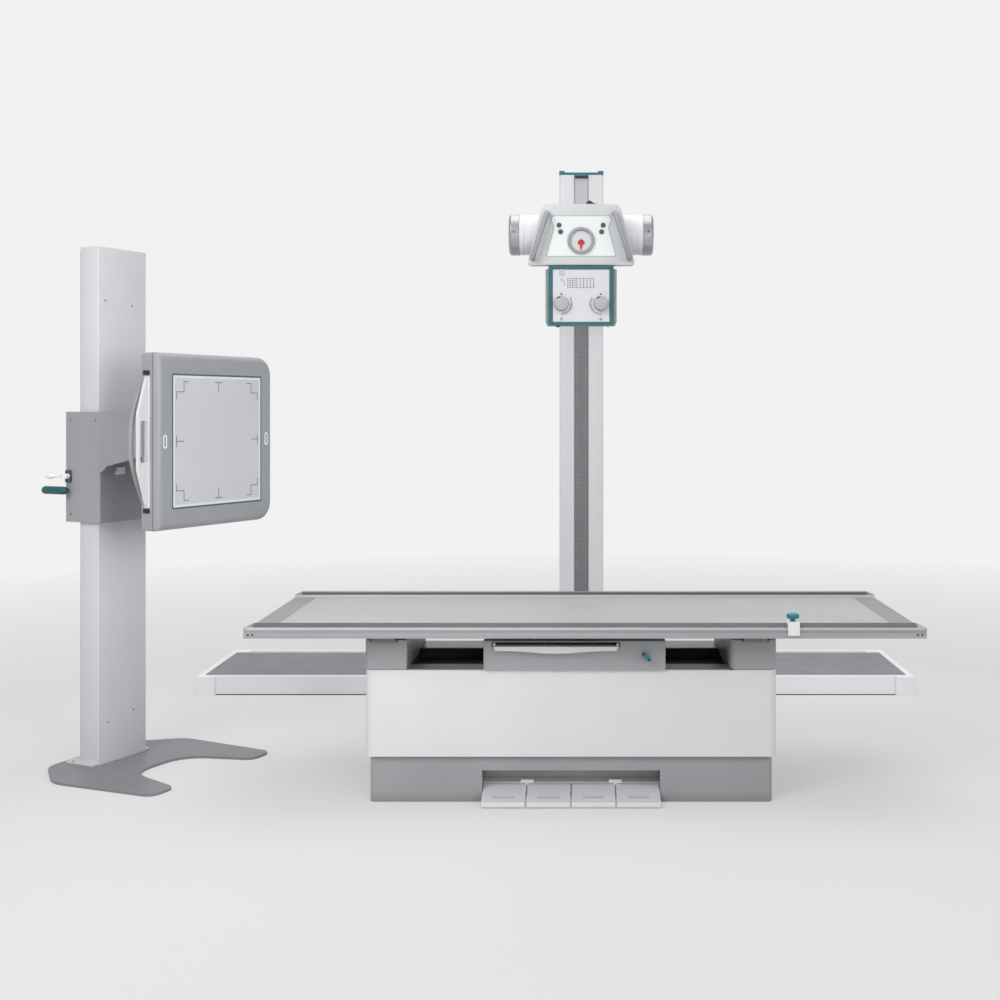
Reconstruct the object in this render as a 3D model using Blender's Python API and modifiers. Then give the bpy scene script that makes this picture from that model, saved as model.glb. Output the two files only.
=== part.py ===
"""Digital radiography system: floating-top table, tube stand on a floor rail, and wall stand.

World frame: +X to the right of someone facing the table, +Y away from them, +Z up.
The floor is Z = 0 and the tube's focal spot stands over the origin. Metres throughout.
"""
import math

import bmesh
import bpy
from mathutils import Matrix, Vector

# Clearances
GAP = 0.0003
SLIDE_GAP = 0.0005

# Pedestal of the table
PEDESTAL_LENGTH = 1.356
PEDESTAL_FRONT = -0.300
PEDESTAL_DEPTH = 0.535
PEDESTAL_RADIUS = 0.030
COVER_BOTTOM = 0.151
COVER_HEIGHT = 0.286
COVER_WALL = 0.005
PLINTH_INSET = 0.014
PLINTH_WALL = 0.006
PLINTH_FLOOR = 0.010
SKIRT_CLEARANCE = 0.015

# Foot pedals and their recess in the plinth
RECESS_WIDTH = 0.588
RECESS_HEIGHT = 0.1035
RECESS_DEPTH = 0.124
RECESS_LINER = 0.006
PEDAL_COUNT = 4
PEDAL_LENGTH = 0.125
PEDAL_THICKNESS = 0.013
PEDAL_TILT = math.radians(13.5)
PEDAL_AXIS_HEIGHT = 0.0405
PEDAL_SPACE = 0.003
PEDAL_BACK_SPACE = 0.0045
PEDAL_CHAMFER = 0.0015
PEDAL_PRESS = math.radians(2)
HINGE_RAIL_HEIGHT = 0.040
HINGE_RAIL_DEPTH = 0.014
GUARD_WIDTH = 0.043
GUARD_STEM = 0.012
GUARD_TOP = 0.060
GUARD_BAR = 0.011
GUARD_SLOPE = 0.0015
GUARD_ROOT = 0.010
GUARD_INSET = 0.001
PEDAL_AXIS_SETBACK = 0.0845
HINGE_FOOT_INSET = 0.002
HINGE_FOOT_BOTTOM = 0.001
HINGE_FOOT_TOP = 0.006

# Lift between plinth and carriage
GUIDE_LENGTH = 0.260
GUIDE_DEPTH = 0.220
GUIDE_WALL = 0.020
GUIDE_TOP_SPACE = 0.040
RAM_FOOT = 0.050

# Carriage on top of the lift
BASE_FRAME_HEIGHT = 0.037
WELL_DEPTH = 0.030
RUNNER_THICKNESS = 0.004
FRONT_RUNNER_WIDTH = 0.085
REAR_RUNNER_WIDTH = 0.150
BLOCK_HEIGHT = 0.0998
LEFT_BLOCK_WIDTH = 0.138
RIGHT_BLOCK_WIDTH = 0.155
BLOCK_INNER_RADIUS = 0.026

# Table bucky and its detector tray
HOUSING_CENTRE_X = 0.0115
HOUSING_WIDTH = 0.597
HOUSING_HEIGHT = 0.0945
HOUSING_DEPTH = 0.500
FASCIA_REACH = 0.012
FASCIA_DROP = 0.0028
TRAY_CENTRE_X = -0.0495
TRAY_SLOT_WIDTH = 0.415
TRAY_SLOT_HEIGHT = 0.0155
TRAY_SLOT_BASE = 0.0722
TRAY_SLOT_DEPTH = 0.462
TRAY_FLOOR = 0.004
TRAY_LIP = 0.008
TRAY_LIP_HEIGHT = 0.0125
TRAY_HANDLE_WIDTH = 0.399
TRAY_HANDLE_REACH = 0.028
TRAY_HANDLE_HEIGHT = 0.0135
TRAY_HANDLE_SAG = 0.009
LOCK_MARGIN = 0.064
LOCK_HEIGHT = 0.045
LOCK_LENGTH = 0.032
LOCK_WIDTH = 0.013
LOCK_REACH = 0.024

# Floating tabletop
BEAM_WIDTH = 0.090
BEAM_HEIGHT = 0.0203
BEAM_GROOVE = 0.008
TOP_CENTRE_X = 0.046
TOP_LENGTH = 2.198
TOP_WIDTH = 0.800
SIDE_RAIL_WIDTH = 0.032
SIDE_RAIL_FACE = 0.036
SIDE_RAIL_CREST = 0.046
SIDE_RAIL_CREST_INSET = 0.028
SIDE_RAIL_END_SLOPE = 0.028
SIDE_RAIL_END_DROP = 0.013
SIDE_RAIL_LEDGE = 0.0035
SIDE_RAIL_LEDGE_WIDTH = 0.023
SLOT_MOUTH = 0.0065
SLOT_LIP = 0.0035
SLOT_DEPTH = 0.0095
SLOT_UNDERCUT = 0.003
SLOT_CENTRE = 0.021
PANEL_THICKNESS = 0.0202
CLAMP_X = 0.716
CLAMP_WIDTH = 0.0376
CLAMP_WALL = 0.0115
CLAMP_DROP = 0.0435
CLAMP_TOP = 0.008
CLAMP_LIP = 0.019
CLAMP_KNOB_RADIUS = 0.021
CLAMP_KNOB_HEIGHT = 0.025

# Floor rail
RAIL_CENTRE_X = -0.084
RAIL_LENGTH = 3.249
RAIL_FRONT = 1.346
RAIL_DEPTH = 0.664
RAIL_HEIGHT = 0.086
RAIL_RIM = 0.028
RAIL_REAR_RIM = 0.073
RAIL_SKIN = 0.012
RAIL_CAP_LENGTH = 0.086
RAIL_CAP_REACH = 0.015
TREAD_THICKNESS = 0.0052
TREAD_SINK = 0.0005

# Tube column
COLUMN_X = 0.033
COLUMN_FRONT = 1.533
COLUMN_WIDTH = 0.2045
COLUMN_DEPTH = 0.180
COLUMN_HEIGHT = 2.219
COLUMN_WALL = 0.008
COLUMN_RADIUS = 0.010
TROLLEY_LENGTH = 0.420
TROLLEY_THICKNESS = 0.039
TROLLEY_REACH = 0.018
TROLLEY_DROP = 0.040
TURRET_RADIUS = 0.152
TURRET_HEIGHT = 0.045
SCALE_WIDTH = 0.0645
SCALE_THICKNESS = 0.0035
SCALE_END_SPACE = 0.006
CAP_THICKNESS = 0.0105
CAP_EAR_HEIGHT = 0.0075
CAP_EAR_WIDTH = 0.028
CAP_REACH = 0.001
CAP_TAB_DROP = 0.007
CAP_TAB_REACH = 0.006
WEIGHT_HEIGHT = 0.330
WEIGHT_BASE = 0.480

# Arm
HEAD_HEIGHT = 1.907
CARRIAGE_WIDTH = 0.274
CARRIAGE_WALL_Y = 0.033
CARRIAGE_HEIGHT = 0.380
CARRIAGE_RADIUS = 0.016
SLEEVE_SIZE = 0.130
SLEEVE_WALL = 0.0075
SLEEVE_LENGTH = 0.750
SLEEVE_FLANGE = 0.190
SLEEVE_FLANGE_THICKNESS = 0.015
INNER_WALL = 0.005
INNER_ENGAGEMENT = 0.600
INNER_END_PLATE = 0.020
ARM_FACE_Y = 0.120

# X-ray tube and console
BARREL_LENGTH = 0.430
BARREL_RADIUS = 0.0705
BARREL_CAP_LENGTH = 0.0360
BARREL_CAP_RADIUS = 0.0715
TRUNNION_RADIUS = 0.050
PORT_RADIUS = 0.055
PORT_DROP = 0.050
CONSOLE_FRONT = -0.120
CONSOLE_TOP_RISE = 0.0914
CONSOLE_BOTTOM_DROP = 0.1175
CONSOLE_TOP_WIDTH = 0.252
CONSOLE_SHOULDER_WIDTH = 0.275
CONSOLE_BOTTOM_WIDTH = 0.368
CONSOLE_SHOULDER_DROP = 0.018
CONSOLE_FOOT_RISE = 0.006
HANDLE_TOP_X = 0.1165
HANDLE_BOTTOM_X = 0.1660
HANDLE_TOP_RISE = 0.058
HANDLE_BOTTOM_DROP = 0.096
HANDLE_RADIUS = 0.0098
HANDLE_STANDOFF = 0.026
DIAL_DROP = 0.0347
DIAL_RADIUS = 0.0460
DIAL_BORE = 0.0368
DIAL_RING_HEIGHT = 0.007
POINTER_LENGTH = 0.034
POINTER_WIDTH = 0.025
POINTER_STEM = 0.0064
POINTER_THICKNESS = 0.003
POINTER_HUB_RADIUS = 0.004
BUTTON_RADIUS = 0.0082
BUTTON_REACH = 0.004
BUTTON_TRAVEL = 0.002
BUTTON_PLACES = {"upper": (0.0755, 0.0184), "lower": (0.0700, -0.0044)}

# Collimator
COLLIMATOR_WIDTH = 0.244
COLLIMATOR_HEIGHT = 0.184
COLLIMATOR_FRONT = -0.119
COLLIMATOR_DEPTH = 0.212
COLLIMATOR_INSET = 0.0105
BEZEL_WIDTH = 0.2234
BEZEL_HEIGHT = 0.2053
BEZEL_BORDER = 0.0140
BEZEL_RIM = 0.0122
BEZEL_THICKNESS = 0.010
COLLIMATOR_KNOB_X = 0.0675
COLLIMATOR_KNOB_DROP = 0.130
COLLIMATOR_KNOB_RADIUS = 0.0255
COLLIMATOR_KNOB_REACH = 0.022
KNOB_CROWN_INSET = 0.0046
KNOB_RIM_INSET = 0.002
KNOB_RIM_DROP = 0.0015
KNOB_SKIRT = 0.0055

# Wall stand, in its own frame: +X forward from the column's face, +Y to its right
STAND_X = -1.6549
STAND_Y = 0.2243
STAND_TURN = math.radians(-25.0)
FOOT_THICKNESS = 0.010
FOOT_BACK = -0.165
FOOT_TIP = 0.430
FOOT_HALF_WIDTH = 0.338
FOOT_TIP_OUTER = 0.315
FOOT_TIP_INNER = 0.205
FOOT_NOTCH = 0.170
FOOT_NOTCH_HALF = 0.130
FOOT_HEEL_HALF = 0.200
STAND_WIDTH = 0.240
STAND_DEPTH = 0.090
STAND_HEIGHT = 1.873
STAND_WALL = 0.004
STAND_RADIUS = 0.006
STAND_FLANGE_REACH = 0.045
STAND_FLANGE_SIDE = 0.022
STAND_FLANGE_THICKNESS = 0.008
SLEEVE_BACK = 0.055
SLEEVE_FRONT = 0.022
SLEEVE_SIDE = 0.014
STAND_SLEEVE_HEIGHT = 0.400
OUTRIGGER_REACH = 0.350
OUTRIGGER_DEPTH = 0.215
OUTRIGGER_RISE = 0.090
OUTRIGGER_WALL = 0.006
BUCKY_CENTRE_Z = 1.186
BUCKY_SIZE = 0.600
BUCKY_REAR_THICKNESS = 0.048
BUCKY_FRONT_THICKNESS = 0.025
BUCKY_CORNER = 0.065
BUCKY_EDGE = 0.020
BUCKY_SMALL_CORNER = 0.008
STAND_TRAY_SLOT = 0.026
STAND_TRAY_SLOT_BACK = 0.010
STAND_TRAY_HEIGHT = 0.444
STAND_TRAY_DEPTH = 0.560
STAND_TRAY_FLOOR = 0.005
STAND_TRAY_LIP = 0.014
GRIP_REACH = 0.043
GRIP_HEIGHT = 0.430
GRIP_FLAT = 0.190
GRIP_THICKNESS = 0.012
GRIP_SLOT_LENGTH = 0.141
GRIP_SLOT_WIDTH = 0.030
GRIP_SLOT_MARGIN = 0.010
PANEL_WIDTH = 0.470
PANEL_HEIGHT = 0.460
PANEL_POCKET = 0.0065
PANEL_SHEET = 0.0060
BOW_RADIUS = 0.0085
BOW_HEIGHT = 0.455
BOW_ROOT = 0.262
BOW_SWELL = 0.068
BOW_STANDOFF = 0.021
LEVER_X = -0.128
LEVER_RISE = 0.166
LEVER_HUB_RADIUS = 0.010
LEVER_HUB_LENGTH = 0.024
LEVER_LENGTH = 0.100
LEVER_KNOB_RADIUS = 0.011
LEVER_KNOB_LENGTH = 0.046
LEVER_STEM_RADIUS = 0.0042
CAPSULE_RISE = 0.1147
CAPSULE_RADIUS = 0.0145
CAPSULE_LENGTH = 0.120
CAPSULE_FRONT = -0.115
CAPSULE_STANDOFF = 0.0065

# Heights and depths that follow from the sizes above
PEDESTAL_BACK = PEDESTAL_FRONT + PEDESTAL_DEPTH
PEDESTAL_MID_Y = PEDESTAL_FRONT + PEDESTAL_DEPTH / 2
COVER_TOP = COVER_BOTTOM + COVER_HEIGHT
BASE_FRAME_BOTTOM = COVER_TOP - BASE_FRAME_HEIGHT
SKIRT_TOP = BASE_FRAME_BOTTOM - SKIRT_CLEARANCE
PLINTH_FRONT = PEDESTAL_FRONT + PLINTH_INSET
RUNNER_BOTTOM = COVER_TOP + GAP
RUNNER_TOP = RUNNER_BOTTOM + RUNNER_THICKNESS
BLOCK_TOP = RUNNER_BOTTOM + BLOCK_HEIGHT
BEAM_BOTTOM = BLOCK_TOP + GAP
TOP_BOTTOM = BEAM_BOTTOM + BEAM_HEIGHT + GAP
CREST_Z = TOP_BOTTOM + SIDE_RAIL_CREST
WELL_LEFT = -PEDESTAL_LENGTH / 2 + LEFT_BLOCK_WIDTH
WELL_RIGHT = PEDESTAL_LENGTH / 2 - RIGHT_BLOCK_WIDTH
WELL_FRONT = PEDESTAL_FRONT + FRONT_RUNNER_WIDTH
WELL_BACK = PEDESTAL_BACK - REAR_RUNNER_WIDTH
HOUSING_BOTTOM = RUNNER_TOP + GAP
HOUSING_FRONT = PEDESTAL_FRONT - GAP - FASCIA_REACH
HOUSING_BACK = HOUSING_FRONT + HOUSING_DEPTH
TRAY_SLOT_BOTTOM = HOUSING_BOTTOM + TRAY_SLOT_BASE
COLUMN_MID_Y = COLUMN_FRONT + COLUMN_DEPTH / 2
TROLLEY_BOTTOM = RAIL_HEIGHT + GAP
TURRET_TOP = TROLLEY_BOTTOM + TROLLEY_THICKNESS + TURRET_HEIGHT
COLUMN_BOTTOM = TURRET_TOP + GAP
COLUMN_TOP = COLUMN_BOTTOM + COLUMN_HEIGHT
CONSOLE_BACK = -BARREL_RADIUS - GAP
PORT_BOTTOM = HEAD_HEIGHT - BARREL_RADIUS - PORT_DROP
COLLIMATOR_TOP = PORT_BOTTOM - GAP
BEZEL_TOP = COLLIMATOR_TOP
STAND_BASE = FOOT_THICKNESS + GAP
SLEEVE_HALF = STAND_WIDTH / 2 + SLEEVE_SIDE
BUCKY_BACK = SLEEVE_FRONT + OUTRIGGER_REACH + GAP
BUCKY_SPLIT = BUCKY_BACK + BUCKY_REAR_THICKNESS
BUCKY_FACE = BUCKY_SPLIT + GAP + BUCKY_FRONT_THICKNESS
STAND_SLEEVE_BASE = BUCKY_CENTRE_Z - BUCKY_SIZE / 2
LEVER_Z = STAND_SLEEVE_BASE + LEVER_RISE
CAPSULE_Z = STAND_SLEEVE_BASE + CAPSULE_RISE

PARTS = None
CUTTERS = None
MATERIALS = {}

FINISHES = {
    "white_paint": ((0.80, 0.81, 0.82), 0.38, 0.0),
    "grey_paint": ((0.36, 0.37, 0.39), 0.45, 0.0),
    "dark_grey": ((0.22, 0.23, 0.25), 0.50, 0.0),
    "light_grey": ((0.55, 0.56, 0.58), 0.42, 0.0),
    "aluminium": ((0.46, 0.47, 0.48), 0.35, 0.9),
    "teal": ((0.03, 0.17, 0.18), 0.40, 0.0),
    "black": ((0.02, 0.02, 0.022), 0.45, 0.0),
    "red": ((0.60, 0.03, 0.04), 0.45, 0.0),
    "steel": ((0.30, 0.31, 0.32), 0.40, 0.8),
}


def start_scene():
    """Empty the scene and make one collection for the parts and one for the cutters."""
    global PARTS, CUTTERS
    for obj in list(bpy.data.objects):
        bpy.data.objects.remove(obj, do_unlink=True)
    PARTS = bpy.data.collections.new("radiography_system")
    CUTTERS = bpy.data.collections.new("cutters")
    for collection in (PARTS, CUTTERS):
        bpy.context.scene.collection.children.link(collection)
    for name, (colour, roughness, metallic) in FINISHES.items():
        material = bpy.data.materials.new(name)
        material.use_nodes = True
        shader = material.node_tree.nodes["Principled BSDF"]
        shader.inputs["Base Color"].default_value = (*colour, 1.0)
        shader.inputs["Roughness"].default_value = roughness
        shader.inputs["Metallic"].default_value = metallic
        MATERIALS[name] = material


def add_object(name, mesh, finish):
    """Put a mesh in the parts collection with its own copy of a finish, or among the cutters."""
    obj = bpy.data.objects.new(name, mesh)
    if finish is None:
        obj.hide_render = True
        obj.display_type = "WIRE"
        CUTTERS.objects.link(obj)
    else:
        material = MATERIALS[finish].copy()
        material.name = name + "_finish"
        mesh.materials.append(material)
        PARTS.objects.link(obj)
    return obj


def box(name, low, high, finish=None, chamfer=0.0):
    """A box between two corners, with an optional small chamfer on every edge."""
    mesh = bpy.data.meshes.new(name)
    shape = bmesh.new()
    bmesh.ops.create_cube(shape, size=1.0)
    size = [b - a for a, b in zip(low, high)]
    bmesh.ops.scale(shape, vec=size, verts=shape.verts)
    shape.to_mesh(mesh)
    shape.free()
    obj = add_object(name, mesh, finish)
    obj.location = [(a + b) / 2 for a, b in zip(low, high)]
    if chamfer:
        add_chamfer(obj, chamfer)
    return obj


def add_chamfer(obj, width, segments=1):
    """Break the sharp edges of a piece."""
    modifier = obj.modifiers.new("chamfer", "BEVEL")
    modifier.width = width
    modifier.segments = segments
    modifier.limit_method = "ANGLE"
    modifier.angle_limit = math.radians(40)


def round_edges(obj, axis, radius, segments=4, where=None):
    """Round the edges that run along one axis, or only those whose middle passes a test."""
    direction = Vector([float(axis == letter) for letter in "XYZ"])
    shape = bmesh.new()
    shape.from_mesh(obj.data)
    chosen = []
    for edge in shape.edges:
        along = (edge.verts[1].co - edge.verts[0].co).normalized()
        middle = (edge.verts[0].co + edge.verts[1].co) / 2
        if abs(along.dot(direction)) > 0.999 and (where is None or where(middle)):
            chosen.append(edge)
    bmesh.ops.bevel(shape, geom=chosen, offset=radius, offset_type="OFFSET", segments=segments,
                    profile=0.5, affect="EDGES")
    shape.to_mesh(obj.data)
    shape.free()


def combine(obj, other, operation):
    """Cut a shape out of a piece, or join a shape to it."""
    modifier = obj.modifiers.new(other.name, "BOOLEAN")
    modifier.operation = operation
    modifier.solver = "EXACT"
    modifier.object = other
    return obj


def cut(obj, cutter):
    return combine(obj, cutter, "DIFFERENCE")


def join(obj, other):
    return combine(obj, other, "UNION")


def filleted(points, radii, steps=4):
    """Round the corners of a closed outline; one radius for all corners or one for each."""
    if not isinstance(radii, (list, tuple)):
        radii = [radii] * len(points)
    outline = []
    for index, (point, radius) in enumerate(zip(points, radii)):
        corner = Vector(point)
        if radius <= 0:
            outline.append(tuple(corner))
            continue
        before = (Vector(points[index - 1]) - corner).normalized()
        after = (Vector(points[(index + 1) % len(points)]) - corner).normalized()
        half = before.angle(after) / 2
        reach = radius / math.tan(half)
        centre = corner + (before + after).normalized() * (radius / math.sin(half))
        start = corner + before * reach - centre
        end = corner + after * reach - centre
        sweep = start.angle_signed(end)
        for step in range(steps + 1):
            turn = -sweep * step / steps
            outline.append(tuple(centre + Matrix.Rotation(turn, 2) @ start))
    return outline


def solid_from_curve(name, curve, placement, finish):
    """Turn a curve object into a closed mesh where it stands."""
    holder = bpy.data.objects.new(name + "_curve", curve)
    bpy.context.scene.collection.objects.link(holder)
    holder.matrix_world = placement
    bpy.context.view_layer.update()
    graph = bpy.context.evaluated_depsgraph_get()
    mesh = bpy.data.meshes.new_from_object(holder.evaluated_get(graph))
    mesh.name = name
    shape = bmesh.new()
    shape.from_mesh(mesh)
    bmesh.ops.remove_doubles(shape, verts=shape.verts, dist=0.00001)
    bmesh.ops.recalc_face_normals(shape, faces=shape.faces)
    shape.to_mesh(mesh)
    shape.free()
    mesh.materials.clear()
    matrix = holder.matrix_world.copy()
    bpy.data.objects.remove(holder, do_unlink=True)
    obj = add_object(name, mesh, finish)
    obj.matrix_world = matrix
    return obj


def slab(name, outline, axis, low, high, finish=None):
    """Extrude a flat outline along an axis. The outline is (Y, Z), (X, Z) or (X, Y)."""
    curve = bpy.data.curves.new(name, "CURVE")
    curve.dimensions = "2D"
    curve.fill_mode = "BOTH"
    curve.extrude = (high - low) / 2
    spline = curve.splines.new("POLY")
    spline.points.add(len(outline) - 1)
    for point, (u, v) in zip(spline.points, outline):
        point.co = (u, v, 0.0, 1.0)
    spline.use_cyclic_u = True
    middle = (low + high) / 2
    turns = {
        "X": Matrix(((0, 0, 1, middle), (1, 0, 0, 0), (0, 1, 0, 0), (0, 0, 0, 1))),
        "Y": Matrix(((1, 0, 0, 0), (0, 0, -1, middle), (0, 1, 0, 0), (0, 0, 0, 1))),
        "Z": Matrix.Translation((0, 0, middle)),
    }
    return solid_from_curve(name, curve, turns[axis], finish)


def pipe(name, points, radius, finish=None, sides=3):
    """A round bar through a list of points."""
    curve = bpy.data.curves.new(name, "CURVE")
    curve.dimensions = "3D"
    curve.bevel_depth = radius
    curve.bevel_resolution = sides
    curve.use_fill_caps = True
    spline = curve.splines.new("POLY")
    spline.points.add(len(points) - 1)
    for point, place in zip(spline.points, points):
        point.co = (*place, 1.0)
    return solid_from_curve(name, curve, Matrix.Identity(4), finish)


def turned(name, profile, place, direction, finish=None, steps=24):
    """Turn a profile of (radius, height) points, top to bottom, about an axis."""
    mesh = bpy.data.meshes.new(name)
    points = [(radius, 0.0, height) for radius, height in profile]
    edges = [(index, index + 1) for index in range(len(points) - 1)]
    mesh.from_pydata(points, edges, [])
    obj = add_object(name, mesh, finish)
    obj.location = place
    obj.rotation_mode = "QUATERNION"
    obj.rotation_quaternion = Vector((0, 0, 1)).rotation_difference(Vector(direction))
    screw = obj.modifiers.new("turn", "SCREW")
    screw.axis = "Z"
    screw.angle = 2 * math.pi
    screw.steps = steps
    screw.render_steps = steps
    screw.use_merge_vertices = True
    screw.merge_threshold = 0.00001
    return obj


def disc(name, radius, low, high, place, direction, finish=None, steps=24, edge=0.0):
    """A cylinder from low to high along a direction, with optional chamfered rims."""
    rim = radius - edge
    profile = [(0, high), (rim, high), (radius, high - edge), (radius, low + edge), (rim, low), (0, low)]
    if not edge:
        profile = [(0, high), (radius, high), (radius, low), (0, low)]
    return turned(name, profile, place, direction, finish, steps)


def pivot(name, place, frame=None):
    """An empty on a joint's axis, in the world or in a frame that stands in it."""
    empty = bpy.data.objects.new(name, None)
    PARTS.objects.link(empty)
    empty.empty_display_size = 0.05
    empty.location = place
    empty.parent = frame
    return empty


def hang(empty, *pieces):
    """Parent pieces and their cutters to an empty that only stands off from their frame."""
    for piece in pieces:
        piece.parent = empty
        piece.matrix_parent_inverse = Matrix.Translation(-Vector(empty.location))
        for modifier in piece.modifiers:
            if modifier.type == "BOOLEAN":
                hang(empty, modifier.object)


def place_in(frame, *pieces):
    """Parent pieces and their cutters straight to a frame."""
    for piece in pieces:
        piece.parent = frame
        for modifier in piece.modifiers:
            if modifier.type == "BOOLEAN":
                place_in(frame, modifier.object)


def pedestal_box(name, inset, low, high, finish=None):
    """A round-cornered block that follows the pedestal's plan, set in from its cover."""
    half = PEDESTAL_LENGTH / 2 - inset
    obj = box(name, (-half, PEDESTAL_FRONT + inset, low), (half, PEDESTAL_BACK - inset, high), finish)
    round_edges(obj, "Z", PEDESTAL_RADIUS - min(inset, PEDESTAL_RADIUS / 2))
    return obj


def make_plinth():
    plinth = pedestal_box("table_plinth", PLINTH_INSET, 0.0, SKIRT_TOP, "grey_paint")
    hollow = pedestal_box("plinth_hollow", PLINTH_INSET + PLINTH_WALL, PLINTH_FLOOR, SKIRT_TOP + 0.1)
    half = RECESS_WIDTH / 2
    back = PLINTH_FRONT + RECESS_DEPTH
    liner = box("recess_liner", (-half - RECESS_LINER, PLINTH_FRONT - 0.1, -0.1),
                (half + RECESS_LINER, back + RECESS_LINER, RECESS_HEIGHT + RECESS_LINER))
    recess = box("pedal_recess", (-half, PLINTH_FRONT - 0.1, -0.1), (half, back, RECESS_HEIGHT))
    cut(hollow, liner)
    cut(plinth, hollow)
    cut(plinth, recess)


def pedal_centres():
    """The middle of each pedal along X."""
    pitch = RECESS_WIDTH / PEDAL_COUNT
    return [(index - (PEDAL_COUNT - 1) / 2) * pitch for index in range(PEDAL_COUNT)]


def make_pedals():
    """Four sloping foot pedals, each on an axis at its upper rear edge, and the rail behind them."""
    axis_y = PLINTH_FRONT + RECESS_DEPTH - PEDAL_AXIS_SETBACK
    width = RECESS_WIDTH / PEDAL_COUNT - PEDAL_SPACE
    for number, centre in enumerate(pedal_centres(), start=1):
        pedal = box("foot_pedal_%d" % number, (-width / 2, -PEDAL_LENGTH, -PEDAL_THICKNESS / 2),
                    (width / 2, PEDAL_BACK_SPACE, PEDAL_THICKNESS / 2), "light_grey", PEDAL_CHAMFER)
        half_turn = pedal.location.copy()
        pedal.data.transform(Matrix.Translation(half_turn))
        pedal.location = (0, 0, 0)
        pedal.rotation_euler.x = PEDAL_TILT
        empty = pivot("pedal_axis_%d" % number, (centre, axis_y, PEDAL_AXIS_HEIGHT))
        pedal.parent = empty
    pressed = PEDAL_TILT + PEDAL_PRESS
    corner = PEDAL_THICKNESS / 2 - PEDAL_CHAMFER
    rail_front = axis_y + PEDAL_BACK_SPACE * math.cos(pressed) + corner * math.sin(pressed) + GAP
    rail_back = rail_front + HINGE_RAIL_DEPTH
    half = RECESS_WIDTH / 2 - GAP
    rail = box("pedal_hinge_rail", (-half, rail_front, 0.0), (half, rail_back, HINGE_RAIL_HEIGHT), "white_paint")
    inset = HINGE_FOOT_INSET
    foot = box("hinge_rail_foot", (inset - half, rail_front + inset, HINGE_FOOT_BOTTOM),
               (half - inset, PLINTH_FRONT + RECESS_DEPTH - GAP, HINGE_FOOT_TOP))
    join(rail, foot)
    for side in (-1, 1):
        centre = side * (RECESS_WIDTH / PEDAL_COUNT)
        stem = GUARD_STEM / 2
        arm = GUARD_WIDTH / 2
        bar = GUARD_TOP - GUARD_BAR
        root = HINGE_RAIL_HEIGHT - GUARD_ROOT
        outline = [(centre - stem, root), (centre + stem, root), (centre + stem, bar),
                   (centre + arm, bar + GUARD_SLOPE), (centre + arm, GUARD_TOP), (centre - arm, GUARD_TOP),
                   (centre - arm, bar + GUARD_SLOPE), (centre - stem, bar)]
        join(rail, slab("guard_%d" % (side + 2), outline, "Y", rail_front + GUARD_INSET, rail_back - GUARD_INSET))


def make_lift():
    """A square guide on the plinth's floor and the ram that carries the table in it."""
    x, y = GUIDE_LENGTH / 2, GUIDE_DEPTH / 2
    guide_top = SKIRT_TOP - GUIDE_TOP_SPACE
    guide = box("lift_guide", (-x, PEDESTAL_MID_Y - y, PLINTH_FLOOR + GAP), (x, PEDESTAL_MID_Y + y, guide_top),
                "steel")
    round_edges(guide, "Z", 0.008, 2)
    x, y = x - GUIDE_WALL, y - GUIDE_WALL
    cut(guide, box("guide_bore", (-x, PEDESTAL_MID_Y - y, -0.1), (x, PEDESTAL_MID_Y + y, guide_top + 0.1)))
    x, y = x - GAP, y - GAP
    ram = box("lift_ram", (-x, PEDESTAL_MID_Y - y, RAM_FOOT),
              (x, PEDESTAL_MID_Y + y, BASE_FRAME_BOTTOM - GAP), "steel", 0.002)
    return ram


def make_carriage():
    """What the lift carries: cover, base frame, runners for the bucky and the two end blocks."""
    cover = pedestal_box("pedestal_cover", 0.0, COVER_BOTTOM, COVER_TOP, "white_paint")
    cut(cover, pedestal_box("cover_hollow", COVER_WALL, COVER_BOTTOM - 0.1, COVER_TOP + 0.1))
    frame = pedestal_box("base_frame", COVER_WALL + GAP, BASE_FRAME_BOTTOM, COVER_TOP, "dark_grey")
    well = box("bucky_well", (WELL_LEFT, WELL_FRONT, COVER_TOP - WELL_DEPTH),
               (WELL_RIGHT, WELL_BACK, COVER_TOP + 0.1))
    cut(frame, well)
    left, right = WELL_LEFT + GAP, WELL_RIGHT - GAP
    front_runner = box("bucky_runner_front", (left, PEDESTAL_FRONT, RUNNER_BOTTOM),
                       (right, WELL_FRONT, RUNNER_TOP), "light_grey", 0.001)
    rear_runner = box("bucky_runner_rear", (left, WELL_BACK, RUNNER_BOTTOM),
                      (right, PEDESTAL_BACK, RUNNER_TOP), "light_grey", 0.001)
    half = PEDESTAL_LENGTH / 2
    left_block = box("end_block_left", (-half, PEDESTAL_FRONT, RUNNER_BOTTOM),
                     (WELL_LEFT, PEDESTAL_BACK, BLOCK_TOP), "grey_paint")
    round_edges(left_block, "Z", PEDESTAL_RADIUS / 2, 3, lambda middle: middle.x < 0)
    right_block = box("end_block_right", (WELL_RIGHT, PEDESTAL_FRONT, RUNNER_BOTTOM),
                      (half, PEDESTAL_BACK, BLOCK_TOP), "grey_paint")
    round_edges(right_block, "Z", BLOCK_INNER_RADIUS, 4, lambda middle: middle.x > 0 or middle.y < 0)
    for block in (left_block, right_block):
        add_chamfer(block, 0.0025)
    return [cover, frame, front_runner, rear_runner, left_block, right_block]


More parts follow.
